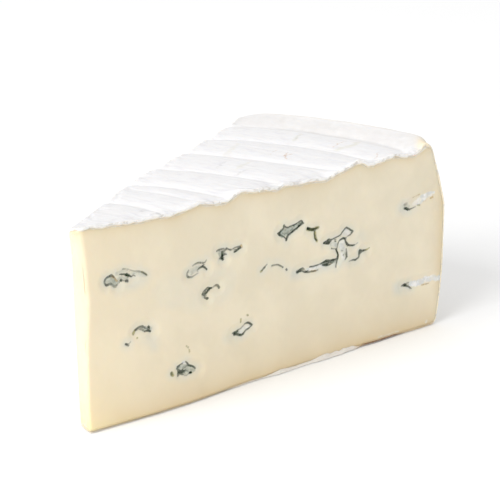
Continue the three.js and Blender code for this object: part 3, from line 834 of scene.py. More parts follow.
BACK_POCKETS = (
    Pocket(1.2, ((14.5, 19), (16.8, 20.2), (19.4, 19.6))),
    Pocket(1.6, ((23, 33.6), (25.2, 34.6), (28, 34.2), (30.4, 32.8))),
    Pocket(0.9, ((31.5, 14.2), (33, 15.6), (35.6, 15.4))),
    Pocket(1.9, ((41, 27.4), (43.6, 28.4), (46.8, 27.6))),
    Pocket(0.9, ((47.6, 38.2), (50.6, 38.6), (53.8, 37.6))),
    Pocket(1.4, ((54, 18.2), (57.2, 17.4), (60.2, 18.6))),
    Pocket(1, ((61, 31.2), (63.6, 32.6), (66.6, 32), (69.8, 33.2))),
    Pocket(2, ((73.4, 23.2), (76.6, 24.4), (80.2, 23.8))),
    Pocket(1, ((81.6, 10.8), (84.8, 11.6), (87.6, 10.6))),
    Pocket(0.9, ((84.2, 36), (87.2, 35.2), (90.4, 35.8))),
    Pocket(1.2, ((92.6, 27), (95.4, 25.8), (98.6, 26.6))),
    Pocket(1.4, ((106.4, 20.6), (111, 21.2), (117, 20.8))),
)


def strokes_round(pockets: Sequence[Pocket], seed: int) -> tuple[Stroke, ...]:
    """Grows mould round pockets whose own veins aren't drawn one by one.

    Each pocket gets felt along its path, inky lines on either side of it, broken in two and shaken
    by up to a fifth of its width, for every second one an olive tail beyond its end and for every
    third one white bloom in its middle.

    Args:
        pockets: The pockets of a cut face.
        seed: The seed of the shaking.

    Returns:
        The strokes.
    """
    rng = np.random.default_rng(seed)
    strokes = []
    for number, pocket in enumerate(pockets):
        path = np.array(pocket.path)
        along = path[-1] - path[0]
        side = np.array([-along[1], along[0]]) / np.hypot(*along) * pocket.width * 0.45
        tones = rng.uniform(0.35, 0.9, 2)
        strokes.append(Stroke(FELT, 0.45 * pocket.width, pocket.path, 0.25 * pocket.width, *tones))
        for way in (-1.0, 1.0):
            line = path + way * side + rng.uniform(-0.2, 0.2, path.shape) * pocket.width
            points = tuple((float(x), float(y)) for x, y in line)
            for part in (points[:2], points[-2:]):
                widths = rng.uniform(0.06, 0.30, 2)
                tones = rng.uniform(0.15, 1.0, 2)
                strokes.append(Stroke(INK, widths[0], part, widths[1], *tones))
        if number % 2 == 0:
            end = path[-1] + along / np.hypot(*along) * [1.2, 0.4]
            tail = (pocket.path[-1], (float(end[0]), float(end[1])))
            strokes.append(Stroke(OLIVE, 0.3, tail, 0.15))
        if number % 3 == 0:
            strokes.append(Stroke(BLOOM, 0.25 * pocket.width, pocket.path[1:], 0.15, 0.9))
    return tuple(strokes)


# ------------------------ meshes


@dataclass
class Surface:
    """A closed surface in mm from the wheel's axis, with a value for each point in named fields."""

    points: Array
    triangles: Array
    fields: dict[str, Array]

    def outward(self) -> Array:
        """Turns the triangles round if the signed volume Σ a·(b × c) / 6 is below 0.

        Returns:
            The triangles, facing outwards.
        """
        a, b, c = (self.points[self.triangles[:, k]] for k in range(3))
        volume = np.einsum("ij,ij->", a, np.cross(b, c)) / 6.0
        return self.triangles if volume > 0.0 else self.triangles[:, ::-1]


def quads_to_triangles(quads: Array) -> Array:
    """Splits each quad a, b, c, d into a, b, c and a, c, d."""
    return np.vstack([quads[:, [0, 1, 2]], quads[:, [0, 2, 3]]])


def ring_triangles(rows: int, columns: int) -> Array:
    """Joins rows of closed rings into a tube and closes each end by a fan.

    Args:
        rows: How many rings there are.
        columns: The points of a ring.

    Returns:
        The triangles. The points are numbered ring after ring, then the middles of the two fans.
    """
    number = np.arange(rows * columns).reshape(rows, columns)
    ahead = np.roll(number, -1, axis=1)
    quads = np.stack([number[:-1], number[1:], ahead[1:], ahead[:-1]], axis=-1).reshape(-1, 4)
    first, last = rows * columns + np.arange(2)
    fans = [
        np.column_stack([number[0], ahead[0], np.full(columns, first)]),
        np.column_stack([ahead[-1], number[-1], np.full(columns, last)]),
    ]
    return np.vstack([quads_to_triangles(quads), *fans])


def write_piece(
    name: str, surface: Surface, shift: Array, material: bpy.types.Material
) -> bpy.types.Object:
    """Puts a surface into the scene as one smooth-shaded object at the origin.

    Args:
        name: The piece's name.
        surface: What it is made of, in mm.
        shift: What takes a point from the wheel's axis to the frame, in mm.
        material: Its finish.

    Returns:
        The object.
    """
    triangles = surface.outward()
    mesh = bpy.data.meshes.new(name)
    mesh.vertices.add(len(surface.points))
    mesh.vertices.foreach_set("co", ((surface.points + shift) * MM).astype(np.float32).ravel())
    mesh.loops.add(triangles.size)
    mesh.loops.foreach_set("vertex_index", triangles.astype(np.int32).ravel())
    mesh.polygons.add(len(triangles))
    mesh.polygons.foreach_set("loop_start", np.arange(0, triangles.size, 3, dtype=np.int32))
    mesh.update(calc_edges=True)
    for key, values in surface.fields.items():
        flat = values.ndim == 1
        layer = mesh.attributes.new(key, "FLOAT" if flat else "FLOAT_VECTOR", "POINT")
        layer.data.foreach_set("value" if flat else "vector", values.astype(np.float32).ravel())
    mesh.validate()
    mesh.shade_smooth()
    mesh.materials.append(material)
    piece = bpy.data.objects.new(name, mesh)
    bpy.context.scene.collection.objects.link(piece)
    LOG.info("%s: %d points, %d triangles", name, len(mesh.vertices), len(mesh.polygons))
    return piece


# ------------------------ finishes


class Kind(Enum):
    """The kinds of shader node that the finishes are made of: type, output and settings."""

    PLACE = ("ShaderNodeTexCoord", "Object", {})
    READING = ("ShaderNodeAttribute", "Fac", {})
    OFFSET = ("ShaderNodeAttribute", "Vector", {})
    STRETCH = ("ShaderNodeMapping", "Vector", {})
    NOISE = ("ShaderNodeTexNoise", "Fac", {})
    NOISE_4D = ("ShaderNodeTexNoise", "Fac", {"noise_dimensions": "4D"})
    RANGE = ("ShaderNodeMapRange", "Result", {})
    EASED = ("ShaderNodeMapRange", "Result", {"interpolation_type": "SMOOTHSTEP"})
    TIMES = ("ShaderNodeMath", "Value", {"operation": "MULTIPLY"})
    TIMES_PLUS = ("ShaderNodeMath", "Value", {"operation": "MULTIPLY_ADD"})
    LESS = ("ShaderNodeMath", "Value", {"operation": "SUBTRACT"})
    LARGER = ("ShaderNodeMath", "Value", {"operation": "MAXIMUM"})
    SPLIT = ("ShaderNodeSeparateXYZ", "X", {})
    JOIN = ("ShaderNodeCombineXYZ", "Vector", {})
    LENGTH = ("ShaderNodeVectorMath", "Value", {"operation": "LENGTH"})
    MIX = ("ShaderNodeMix", 2, {"data_type": "RGBA"})
    BUMP = ("ShaderNodeBump", "Normal", {})
    SHADER = ("ShaderNodeBsdfPrincipled", "BSDF", {})


def linear(colour: str) -> tuple[float, float, float, float]:
    """Turns an sRGB colour into linear values.

    Args:
        colour: The colour, such as "#EDE0C4".

    Returns:
        The red, green, blue and alpha that a socket takes.
    """
    parts = (int(colour[k : k + 2], 16) / 255.0 for k in (1, 3, 5))
    red, green, blue = (p / 12.92 if p <= 0.04045 else ((p + 0.055) / 1.055) ** 2.4 for p in parts)
    return red, green, blue, 1.0


def per_metre(size: float) -> float:
    """The scale of a pattern whose features are this many mm apart, on coordinates in metres."""
    return 1.0 / (size * MM)


def add_node(
    tree: Tree,
    kind: Kind,
    inputs: Mapping[str | int, Any] | None = None,
    settings: Mapping[str, Any] | None = None,
) -> Socket:
    """Adds a node with its settings and links.

    Args:
        tree: The node tree.
        kind: The node's kind.
        inputs: Its inputs, by name or number: an output socket to link, or a constant.
        settings: Its properties beyond those of its kind, by name.

    Returns:
        The output that the kind names.
    """
    node_type, output, own_settings = kind.value
    node = tree.nodes.new(node_type)
    for name, value in {**own_settings, **(settings or {})}.items():
        setattr(node, name, value)
    for key, value in (inputs or {}).items():
        if isinstance(value, Socket):
            tree.links.new(value, node.inputs[key])
        else:
            node.inputs[key].default_value = value
    return node.outputs[output]


def empty_material(name: str) -> tuple[bpy.types.Material, Tree, Socket]:
    """Makes a material with no nodes but its output and Object coordinates.

    Args:
        name: The material's name.

    Returns:
        The material, its node tree and the coordinates.
    """
    material = bpy.data.materials.new(name)
    material.use_nodes = True
    tree = material.node_tree
    tree.nodes.remove(tree.nodes["Principled BSDF"])
    return material, tree, add_node(tree, Kind.PLACE)


def tinted(tree: Tree, colour: Socket, tints: Mapping[str, str]) -> Socket:
    """Mixes tints into a colour, one after the other, each as far as the field of its name says.

    Args:
        tree: The node tree.
        colour: The colour.
        tints: The tints by the name of their field.

    Returns:
        The tinted colour.
    """
    for name, tint in tints.items():
        reading = add_node(tree, Kind.READING, settings={"attribute_name": name})
        inputs = {"Factor": reading, 6: colour, 7: linear(tint)}
        colour = add_node(tree, Kind.MIX, inputs)
    return colour


@dataclass(frozen=True)
class Stain:
    """How one growth colours a surface.

    soft is how far, in mm, its edge fades out, grain and grain_size how far and how finely that edge
    is ragged, cover how much of the colour below it hides where it has grown most densely, and patchy
    by what share it is thinner in patches.
    """

    growth: Growth
    colour: str
    shade: str
    soft: float
    grain: float
    grain_size: float
    cover: float
    patchy: float = 0.0
    patch_grains: float = 1.5  # the size of a patch, in grains
    mottle_grains: float = 1.8  # and that of a mottle between colour and shade

    def cover_socket(self, tree: Tree, place: Socket, distance: Socket) -> Socket:
        """Adds the nodes for how much the growth covers: an eased step in distance plus grain, patchy.

        Args:
            tree: The node tree.
            place: Object coordinates.
            distance: The distance to the growth's edge, in mm.

        Returns:
            The share that it covers.
        """
        inputs = {"Vector": place, "Scale": per_metre(self.grain_size), "Detail": 3.0, "Roughness": 0.6}
        grit = add_node(tree, Kind.NOISE, inputs)
        inputs = {0: grit, 1: 2.0 * self.grain, 2: distance}
        shaken = add_node(tree, Kind.TIMES_PLUS, inputs)
        inputs = {
            "Value": shaken,
            "From Min": self.grain + self.soft,
            "From Max": self.grain - 0.4 * self.soft,
            "To Max": self.cover,
        }
        step = add_node(tree, Kind.EASED, inputs)
        scale = per_metre(self.patch_grains * self.grain_size)
        inputs = {"Vector": place, "W": 5.0, "Scale": scale}
        patches = add_node(tree, Kind.NOISE_4D, inputs)
        inputs = {"Value": patches, "From Min": 0.4, "From Max": 0.6, "To Min": 1.0 - self.patchy}
        thinned = add_node(tree, Kind.RANGE, inputs)
        inputs = {0: step, 1: thinned}
        return add_node(tree, Kind.TIMES, inputs)

    def own_colour(self, tree: Tree, place: Socket) -> Socket:
        """Adds the nodes for the growth's own colour: a mottle of its colour and its shade.

        Args:
            tree: The node tree.
            place: Object coordinates.

        Returns:
            The colour.
        """
        inputs = {"Vector": place, "Scale": per_metre(self.mottle_grains * self.grain_size)}
        mottle = add_node(tree, Kind.NOISE, inputs)
        spread = add_node(tree, Kind.EASED, {"Value": mottle, "From Min": 0.38, "From Max": 0.62})
        inputs = {"Factor": spread, 6: linear(self.colour), 7: linear(self.shade)}
        return add_node(tree, Kind.MIX, inputs)


def stained(
    tree: Tree,
    place: Socket,
    colour: Socket,
    stains: Sequence[Stain],
    toned: Sequence[Growth],
    known: Mapping[Growth, Socket],
) -> tuple[Socket, dict[Growth, Socket]]:
    """Lays stains over a colour, one after the other, as the fields of the mesh say.

    Args:
        tree: The node tree.
        place: Object coordinates.
        colour: The colour below.
        stains: The stains, the lowest first.
        toned: The growths whose density varies.
        known: The distance in mm to a growth's edge, for a growth whose field isn't read for it.

    Returns:
        The colour with the stains on it, and how much each growth covers.
    """
    covers = {}
    for stain in stains:
        name = stain.growth.value
        if stain.growth in known:
            distance = known[stain.growth]
        else:
            distance = add_node(tree, Kind.READING, settings={"attribute_name": name})
        cover = stain.cover_socket(tree, place, distance)
        if stain.growth in toned:
            tone = add_node(tree, Kind.READING, settings={"attribute_name": name + "_tone"})
            cover = add_node(tree, Kind.TIMES, {0: cover, 1: tone})
        inputs = {"Factor": cover, 6: colour, 7: stain.own_colour(tree, place)}
        colour = add_node(tree, Kind.MIX, inputs)
        covers[stain.growth] = cover
    return colour, covers


@dataclass(frozen=True)
class PasteFinish:
    """Ripe double-cream paste of cow's milk, cut with a wire and veined with blue mould.

    To the eye: ivory, satin and slightly moist, with light soaking a few millimetres in, a deeper
    butter yellow under the rind, and blue-black furred crevices with a faint blue cast round them.
    """

    name: str = "double_cream_paste"
    body: str = "#EAE0C8"
    cloud: str = "#E3D9C1"
    cloud_size: float = 14.0
    # thin and glow are painted light: the paste lighter towards the nose and yellower at its foot,
    # standing in for light shining through the thin nose
    thin: str = "#F5E5C4"
    ripe: str = "#D6BA86"
    glow: str = "#FCE8B4"
    roughness: float = 0.48
    furred_roughness: float = 0.9
    ior: float = 1.45
    soak: float = 1.6  # mm
    soak_weight: float = 0.35
    soak_colour: Triple = (1.0, 0.75, 0.45)  # how far red, green and blue soak in
    wire_grain_size: float = 0.9
    wire_grain_depth: float = 0.012
    fur_size: float = 0.28
    fur_depth: float = 0.10
    ink_guard: float = 0.16
    toned: tuple[Growth, ...] = (INK, FELT, BLOOM, HAZE)
    stains: tuple[Stain, ...] = (
        Stain(HAZE, "#CFD3CC", "#DAD9CC", soft=2.4, grain=0.5, grain_size=2.4, cover=0.65),
        Stain(FLUFF, "#EFEAE2", "#DDD5C8", soft=0.45, grain=0.5, grain_size=1.0, cover=0.7),
        Stain(FUZZ, "#98A18E", "#B3B8A6", soft=0.6, grain=0.35, grain_size=0.5, cover=0.32, patchy=0.6),
        Stain(OLIVE, "#71712F", "#9E954C", soft=0.25, grain=0.2, grain_size=0.5, cover=0.75),
        Stain(BLOOM, "#F4F3F2", "#D6D8D8", soft=0.35, grain=0.5, grain_size=0.8, cover=0.95, patchy=0.3),
        Stain(FELT, "#66746A", "#A8B0A7", soft=0.3, grain=0.3, grain_size=0.45, cover=0.92, patchy=0.4),
        Stain(RUST, "#8B6C2E", "#C4A25A", soft=0.22, grain=0.15, grain_size=0.5, cover=0.65),
        Stain(INK, "#0D1908", "#213819", soft=0.16, grain=0.1, grain_size=0.45, cover=1.0, patchy=0.2),
    )

    def make(self) -> bpy.types.Material:
        """Builds the material from the paste's own fields and Object coordinates.

        Returns:
            The material.
        """
        material, tree, place = empty_material(self.name)
        inputs = {"Vector": place, "Scale": per_metre(self.cloud_size), "Detail": 4.0, "Roughness": 0.55}
        clouds = add_node(tree, Kind.NOISE, inputs)
        clouded = add_node(tree, Kind.EASED, {"Value": clouds, "From Min": 0.36, "From Max": 0.64})
        inputs = {"Factor": clouded, 6: linear(self.body), 7: linear(self.cloud)}
        colour = add_node(tree, Kind.MIX, inputs)
        # thin and glow paint light shining through the thin nose; ripe is the paste's own deeper yellow
        colour = tinted(tree, colour, {"thin": self.thin, "ripe": self.ripe, "glow": self.glow})

        known = {INK: self.ink_distance(tree)}
        colour, covers = stained(tree, place, colour, self.stains, self.toned, known)

        furred = add_node(tree, Kind.LARGER, {0: covers[INK], 1: covers[FELT]})
        inputs = {"Value": furred, "To Min": self.roughness, "To Max": self.furred_roughness}
        roughness = add_node(tree, Kind.RANGE, inputs)
        scale = per_metre(self.wire_grain_size)
        inputs = {"Vector": place, "Scale": scale, "Detail": 5.0, "Roughness": 0.6}
        wire = add_node(tree, Kind.NOISE, inputs)
        wire_bump = add_node(tree, Kind.BUMP, {"Distance": self.wire_grain_depth * MM, "Height": wire})
        inputs = {"Vector": place, "Scale": per_metre(self.fur_size), "Detail": 3.0, "Roughness": 0.7}
        fur = add_node(tree, Kind.NOISE, inputs)
        fur_height = add_node(tree, Kind.TIMES, {0: fur, 1: furred})
        inputs = {"Distance": self.fur_depth * MM, "Height": fur_height, "Normal": wire_bump}
        fur_bump = add_node(tree, Kind.BUMP, inputs)
        inputs = {
            "Base Color": colour,
            "Roughness": roughness,
            "IOR": self.ior,
            "Subsurface Weight": self.soak_weight,
            "Subsurface Radius": self.soak_colour,
            "Subsurface Scale": self.soak * MM,
            "Normal": fur_bump,
        }
        shader = add_node(tree, Kind.SHADER, inputs)
        tree.links.new(shader, tree.nodes["Material Output"].inputs["Surface"])
        return material

    def ink_distance(self, tree: Tree) -> Socket:
        """Adds the nodes for a sharp distance to the ink's edge.

        The offset from the middle of a stroke turns evenly through zero between two points of the
        mesh, so |offset| − half width draws a line thinner than the mesh. Halfway between two
        strokes the offset passes zero too, and there the plain distance, less a guard, is larger.

        Args:
            tree: The node tree.

        Returns:
            The distance in mm.
        """
        plain = add_node(tree, Kind.READING, settings={"attribute_name": INK.value})
        offset = add_node(tree, Kind.OFFSET, settings={"attribute_name": "ink_offset"})
        parts = add_node(tree, Kind.SPLIT, {"Vector": offset}).node.outputs
        flat = add_node(tree, Kind.JOIN, {"X": parts["X"], "Y": parts["Y"]})
        length = add_node(tree, Kind.LENGTH, {0: flat})
        sharp = add_node(tree, Kind.LESS, {0: length, 1: parts["Z"]})
        guard = add_node(tree, Kind.LESS, {0: plain, 1: self.ink_guard})
        return add_node(tree, Kind.LARGER, {0: sharp, 1: guard})


@dataclass(frozen=True)
class RindFinish:
    """A white mould rind, grown on the wheel and pressed flat as it was turned and wrapped.

    To the eye: matt and velvety, white with a trace of cool grey in its folds, cream to golden where
    it thins round the rim, greyer underneath, and grey between the tufts where it is torn at the
    cuts, which is painted shade. Also painted into its colour: light along the rack marks, shade on
    the lip's slope, shadow in the gap under the lifted foot, and light that lifts the shade under the
    torn edge.
    """

    name: str = "white_mould_rind"
    white: str = "#E2E1E1"
    fold: str = "#D6D4D8"
    fold_size: Triple = (1.2, 5.0, 3.0)
    # Painted light: a lighter white along the rack marks that softens the shade on their slopes
    painted_mark_light: str = "#F3F2F2"
    # Painted shade: a greyer white on the lip's slope, which faces the light
    painted_lip_shade: str = "#D2D0CF"
    cream: str = "#E2D6B8"
    under: str = "#DAD3C8"
    torn: str = "#F1EFEC"
    # Golden where the rind thins; lighter than the rind's own gold, so on the torn edge it is partly
    # painted light lifting the shade of the strip's underside
    gold: str = "#EFDAAC"
    tan: str = "#D3B88C"
    # Painted shadow: dark brown in the gap under the lifted front foot
    slot: str = "#855A40"
    # Painted shade between the tufts of the torn edges
    tuft: str = "#D0CBC3"
    tuft_size: float = 1.2
    velvet_size: float = 0.45
    velvet_depth: float = 0.05
    crease_size: Triple = (1.1, 14.0, 3.0)
    crease_depth: float = 0.1
    roughness: float = 0.85
    ior: float = 1.4
    soak: float = 0.8  # mm
    soak_weight: float = 0.45
    soak_colour: Triple = (1.0, 0.9, 0.8)
    stains: tuple[Stain, ...] = (
        Stain(OLIVE, "#CBC7AE", "#D6D3C3", soft=1.0, grain=0.7, grain_size=0.9, cover=0.5),
        Stain(FELT, "#A9A6A3", "#C6C3C0", soft=0.6, grain=0.6, grain_size=0.6, cover=0.55),
        Stain(RUST, "#B08257", "#C9A67C", soft=0.25, grain=0.3, grain_size=0.5, cover=0.6),
    )

    def make(self) -> bpy.types.Material:
        """Builds the material from the rind's own fields and Object coordinates.

        Returns:
            The material.
        """
        material, tree, place = empty_material(self.name)
        along_folds, along_creases = (
            add_node(tree, Kind.STRETCH, {"Vector": place, "Scale": tuple(map(per_metre, size))})
            for size in (self.fold_size, self.crease_size)
        )
        inputs = {"Vector": along_folds, "Scale": 1.0, "Detail": 5.0, "Roughness": 0.65}
        folds = add_node(tree, Kind.NOISE, inputs)
        inputs = {"Value": folds, "From Min": 0.45, "From Max": 0.78}
        folded = add_node(tree, Kind.EASED, inputs)
        inputs = {"Factor": folded, 6: linear(self.white), 7: linear(self.fold)}
        colour = add_node(tree, Kind.MIX, inputs)
        # The tints include painted light along the rack marks, painted shade on the lip's slope and
        # painted shadow in the gap under the lifted foot
        names = ("painted_mark_light", "painted_lip_shade", "cream", "under", "torn", "gold", "tan", "slot")
        colour = tinted(tree, colour, {name: getattr(self, name) for name in names})

        # Painted shade: a grey mottle between the tufts, as far as the rind is torn
        inputs = {"Vector": place, "Scale": per_metre(self.tuft_size), "Detail": 3.0, "Roughness": 0.6}
        tufts = add_node(tree, Kind.NOISE, inputs)
        inputs = {"Value": tufts, "From Min": 0.48, "From Max": 0.68, "To Max": 0.85}
        shaded = add_node(tree, Kind.EASED, inputs)
        torn = add_node(tree, Kind.READING, settings={"attribute_name": "torn"})
        hollow = add_node(tree, Kind.TIMES, {0: shaded, 1: torn})
        inputs = {"Factor": hollow, 6: colour, 7: linear(self.tuft)}
        colour = add_node(tree, Kind.MIX, inputs)
        toned = [stain.growth for stain in self.stains]
        colour, _ = stained(tree, place, colour, self.stains, toned, {})

        inputs = {"Vector": place, "Scale": per_metre(self.velvet_size), "Detail": 4.0, "Roughness": 0.65}
        velvet = add_node(tree, Kind.NOISE, inputs)
        velvet_bump = add_node(tree, Kind.BUMP, {"Distance": self.velvet_depth * MM, "Height": velvet})
        inputs = {"Vector": along_creases, "Scale": 1.0, "Detail": 3.0, "Distortion": 0.3}
        crease = add_node(tree, Kind.NOISE, inputs)
        inputs = {"Distance": self.crease_depth * MM, "Height": crease, "Normal": velvet_bump}
        crease_bump = add_node(tree, Kind.BUMP, inputs)
        inputs = {
            "Base Color": colour,
            "Roughness": self.roughness,
            "IOR": self.ior,
            "Subsurface Weight": self.soak_weight,
            "Subsurface Radius": self.soak_colour,
            "Subsurface Scale": self.soak * MM,
            "Normal": crease_bump,
        }
        shader = add_node(tree, Kind.SHADER, inputs)
        tree.links.new(shader, tree.nodes["Material Output"].inputs["Surface"])
        return material


@dataclass(frozen=True)
class PaperFinish:
    """Matt white background paper. To the eye: a very fine tooth and no gloss."""

    name: str = "background_paper"
    colour: str = "#F9F9F9"
    shade: str = "#F7F7F7"
    tooth_size: float = 0.8
    roughness: float = 0.9
    gloss: float = 0.1

    def make(self) -> bpy.types.Material:
        """Builds the material.

        Returns:
            The material.
        """
        material, tree, place = empty_material(self.name)
        tooth = add_node(tree, Kind.NOISE, {"Vector": place, "Scale": per_metre(self.tooth_size)})
        inputs = {"Factor": tooth, 6: linear(self.colour), 7: linear(self.shade)}
        colour = add_node(tree, Kind.MIX, inputs)
        inputs = {"Base Color": colour, "Roughness": self.roughness, "Specular IOR Level": self.gloss}
        shader = add_node(tree, Kind.SHADER, inputs)
        tree.links.new(shader, tree.nodes["Material Output"].inputs["Surface"])
        return material


# ------------------------ the paste


def graded(stops: Sequence[float], steps: Sequence[float]) -> Array:
    """Spaces grid lines from the first stop to the last.

    Args:
        stops: Where the spacing changes, and the two ends.
        steps: About how far apart the lines are between two stops.

    Returns:
        The lines' places.
    """
    lines = [np.array([stops[0]])]
    for start, end, step in zip(stops[:-1], stops[1:], steps, strict=True):
        lines.append(np.linspace(start, end, round((end - start) / step) + 1)[1:])
    return np.concatenate(lines)


def fading(depth: Array, parts: Sequence[Point]) -> Array:
    """The sum of amount × exp(−depth / length) over parts of (amount, length)."""
    return sum(amount * np.exp(-depth / length) for amount, length in parts)


@dataclass(frozen=True)
class PasteBody:
    """The paste: the wedge's form a little inside the rind, with its vein pockets and mould."""

    form: WedgeForm
    under_top: float = 0.65
    above_base: float = 0.5
    inside_rim: float = 0.35
    radial_step: float = 0.33
    vein_step: float = 0.33
    plain_step: float = 0.7
    vein_heights: Point = (6.5, 38.5)
    shares: tuple[float, ...] = (0.0, 0.02, 0.08, 0.22, 0.42, 0.62, 0.8, 0.93, 0.985, 1.0)
    pocket_depth: float = 0.42
    pocket_slope: float = 2.0
    slant: Point = (0.87, -0.41)  # how far a growth is laid back for each mm that its face stands out
    growth_shift: Point = (0.15, -0.05)
    ink_swell: float = 1.15
    ink_density: float = 0.7
    ink_edge: Point = (-0.2, 0.3)  # mm from the ink's edge, between which the crevice runs out
    crevice_depth: float = 0.25
    fuzz_retreat: float = 0.8  # mm by which fuzz draws back where the ink is thinnest
    fur_edge: Point = (-0.3, 0.5)
    fur_height: float = 0.22
    wave: LatticeNoise = LatticeNoise(seed=3, size=9.0, octaves=2)
    wave_height: float = 0.14
    drag: LatticeNoise = LatticeNoise(seed=5, size=1.6, octaves=2)
    drag_height: float = 0.03
    fur: LatticeNoise = LatticeNoise(seed=7, size=0.9, octaves=2)
    crumble: LatticeNoise = LatticeNoise(seed=43, size=2.6, octaves=3)
    crumble_height: float = 0.2
    crumble_length: float = 1.5
    crumble_end: Point = (43.0, 47.0)
    back_seed: int = 23
    shake_height: float = 0.5
    # Painted light through the thin nose: how strong it is, and where and how fast it fades
    thin_most: float = 0.55
    thin_from: float = 9.0
    thin_length: float = 20.0
    nose_from: float = 6.0
    nose_length: float = 6.0
    nose_spared: float = 0.7  # the share of the base's ripeness that is missing at the nose
    glow_height: float = 7.0
    ripe_under_top: Path = ((0.40, 0.9), (0.12, 3.5))
    ripe_above_base: Path = ((0.50, 6.0), (0.40, 1.2))
    ripe_inside_rim: Path = ((0.45, 2.2),)

    def grid(self) -> tuple[Array, Array, Array, Array]:
        """Lays a closed box of grid lines and welds its six faces along their common lines.

        A point of the box is numbered by its three line numbers, the faces are sheets of four such
        numbers round each square, and the numbers that occur become the points.

        Returns:
            The radius, share and height of each point, and the triangles.
        """
        ends = [self.form.nose_radius, self.form.wheel_radius - self.inside_rim]
        radii = graded(ends, [self.radial_step])
        low, high = self.vein_heights
        heights = graded(
            [self.above_base, low, high, self.form.wheel_height - self.under_top],
            [self.plain_step, self.vein_step, self.plain_step],
        )
        shares = np.array(self.shares)
        counts = (len(radii), len(shares), len(heights))
        sheets = []
        for axis in range(3):
            other = [k for k in range(3) if k != axis]
            i, j = np.meshgrid(*(np.arange(counts[k] - 1) for k in other), indexing="ij")
            for end in (0, counts[axis] - 1):
                corners = []
                for di, dj in ((0, 0), (1, 0), (1, 1), (0, 1)):
                    numbers = [np.full(i.size, end)] * 3
                    numbers[other[0]] = (i + di).ravel()
                    numbers[other[1]] = (j + dj).ravel()
                    corners.append(np.ravel_multi_index(numbers, counts))
                sheet = np.column_stack(corners)
                faces_down = (end == 0) == (axis != 1)
                sheets.append(sheet[:, ::-1] if faces_down else sheet)
        used, quads = np.unique(np.vstack(sheets), return_inverse=True)
        i, j, k = np.unravel_index(used, counts)
        return radii[i], shares[j], heights[k], quads_to_triangles(quads.reshape(-1, 4))

    def pocket_dent(self, pockets: Sequence[Pocket], places: Array) -> Array:
        """Dents a face by pockets: by their depth, eased out over the slope past their width.

        Args:
            pockets: The pockets of the face.
            places: Places on it, in mm.

        Returns:
            How deep the dent is at each place.
        """
        dent = np.zeros(len(places))
        for pocket in pockets:
            path = StrokeMap((Stroke(FELT, pocket.width / 2.0, pocket.path),), wander_by=0.0)
            past = path.depth([FELT], places)
            dent = np.maximum(dent, self.pocket_depth * (1.0 - eased(past, 0.0, self.pocket_slope)))
        return dent

    def growths_on(self, veins: StrokeMap, places: Array) -> tuple[dict[str, Array], Array]:
        """Reads the growths of a cut face.

        Fuzz follows ink and felt, but draws back where the ink is thin. Haze lies round its own
        strokes and round ink and felt.

        Args:
            veins: The growths.
            places: Places on the face in mm.

        Returns:
            The fields by name: the distance to each growth, the tones, and the offset to the ink
            with its half width. Also the distance to ink or felt.
        """
        fields = {growth.value: veins.depth([growth], places) for growth in Growth}
        offset, half_width, tone = veins.nearest([INK], places)
        fields["ink_offset"] = np.column_stack([offset, self.ink_swell * half_width])
        fields["ink_tone"] = tone**self.ink_density
        for growth in (FELT, BLOOM, HAZE):
            fields[growth.value + "_tone"] = veins.nearest([growth], places)[2]
        dark = veins.depth([INK, FELT], places)
        fields["fuzz"] = dark + self.fuzz_retreat * (1.0 - tone)
        fields["haze_tone"] = np.where(dark < fields["haze"], 1.0, fields["haze_tone"])
        fields["haze"] = np.minimum(fields["haze"], dark)
        return fields, dark

    def surface(self) -> Surface:
        """Works out the paste's surface and the fields that its finish reads.

        On each cut face a point moves in along the normal by the pocket's dent and the crevice under
        the ink, and out by the wave, the wire's drag and the fur of the mould. The nose crumbles.

        Returns:
            The surface.
        """
        radius, share, height, triangles = self.grid()
        form = self.form
        points = form.place(radius, share, height)
        fields = {growth.value: np.full(len(points), FAR) for growth in Growth}
        fields["ink_offset"] = np.tile([FAR, 0.0, 0.0], (len(points), 1))
        for growth in (INK, FELT, BLOOM, HAZE):
            fields[growth.value + "_tone"] = np.zeros(len(points))
        back_veins = StrokeMap(strokes_round(BACK_POCKETS, self.back_seed))
        moved = points + 0.0
        for face, is_back, normal, pockets, veins in (
            (share == 0.0, False, form.front_normal, FRONT_POCKETS, StrokeMap(FRONT_STROKES)),
            (share == 1.0, True, form.back_normal, BACK_POCKETS, back_veins),
        ):
            on_face = points[face]
            places = form.on_cut(on_face, is_back)
            dent = self.pocket_dent(pockets, places - self.pocket_depth * np.array(self.slant))
            inward = dent - on_face @ normal
            places = places - inward[:, None] * self.slant - self.growth_shift
            grown, dark = self.growths_on(veins, places)
            for name, values in grown.items():
                fields[name][face] = values
            inked = 1.0 - eased(grown["ink"], *self.ink_edge)
            furred = 1.0 - eased(np.minimum(dark, grown["bloom"]), *self.fur_edge)
            out = (
                self.wave_height * self.wave.at(on_face)
                + self.drag_height * self.drag.at(on_face)
                + self.fur_height * self.fur.at(on_face) * furred
                - self.crevice_depth * inked
                - dent
            )
            moved[face] += out[:, None] * normal
        near_nose = bell(radius - form.nose_radius, self.crumble_length)
        crumbled = near_nose * (1.0 - eased(height, *self.crumble_end))
        moved[:, 0] += self.crumble_height * self.crumble.at(points) * crumbled
        fields.update(self.tints(points))
        return Surface(moved, triangles, fields)

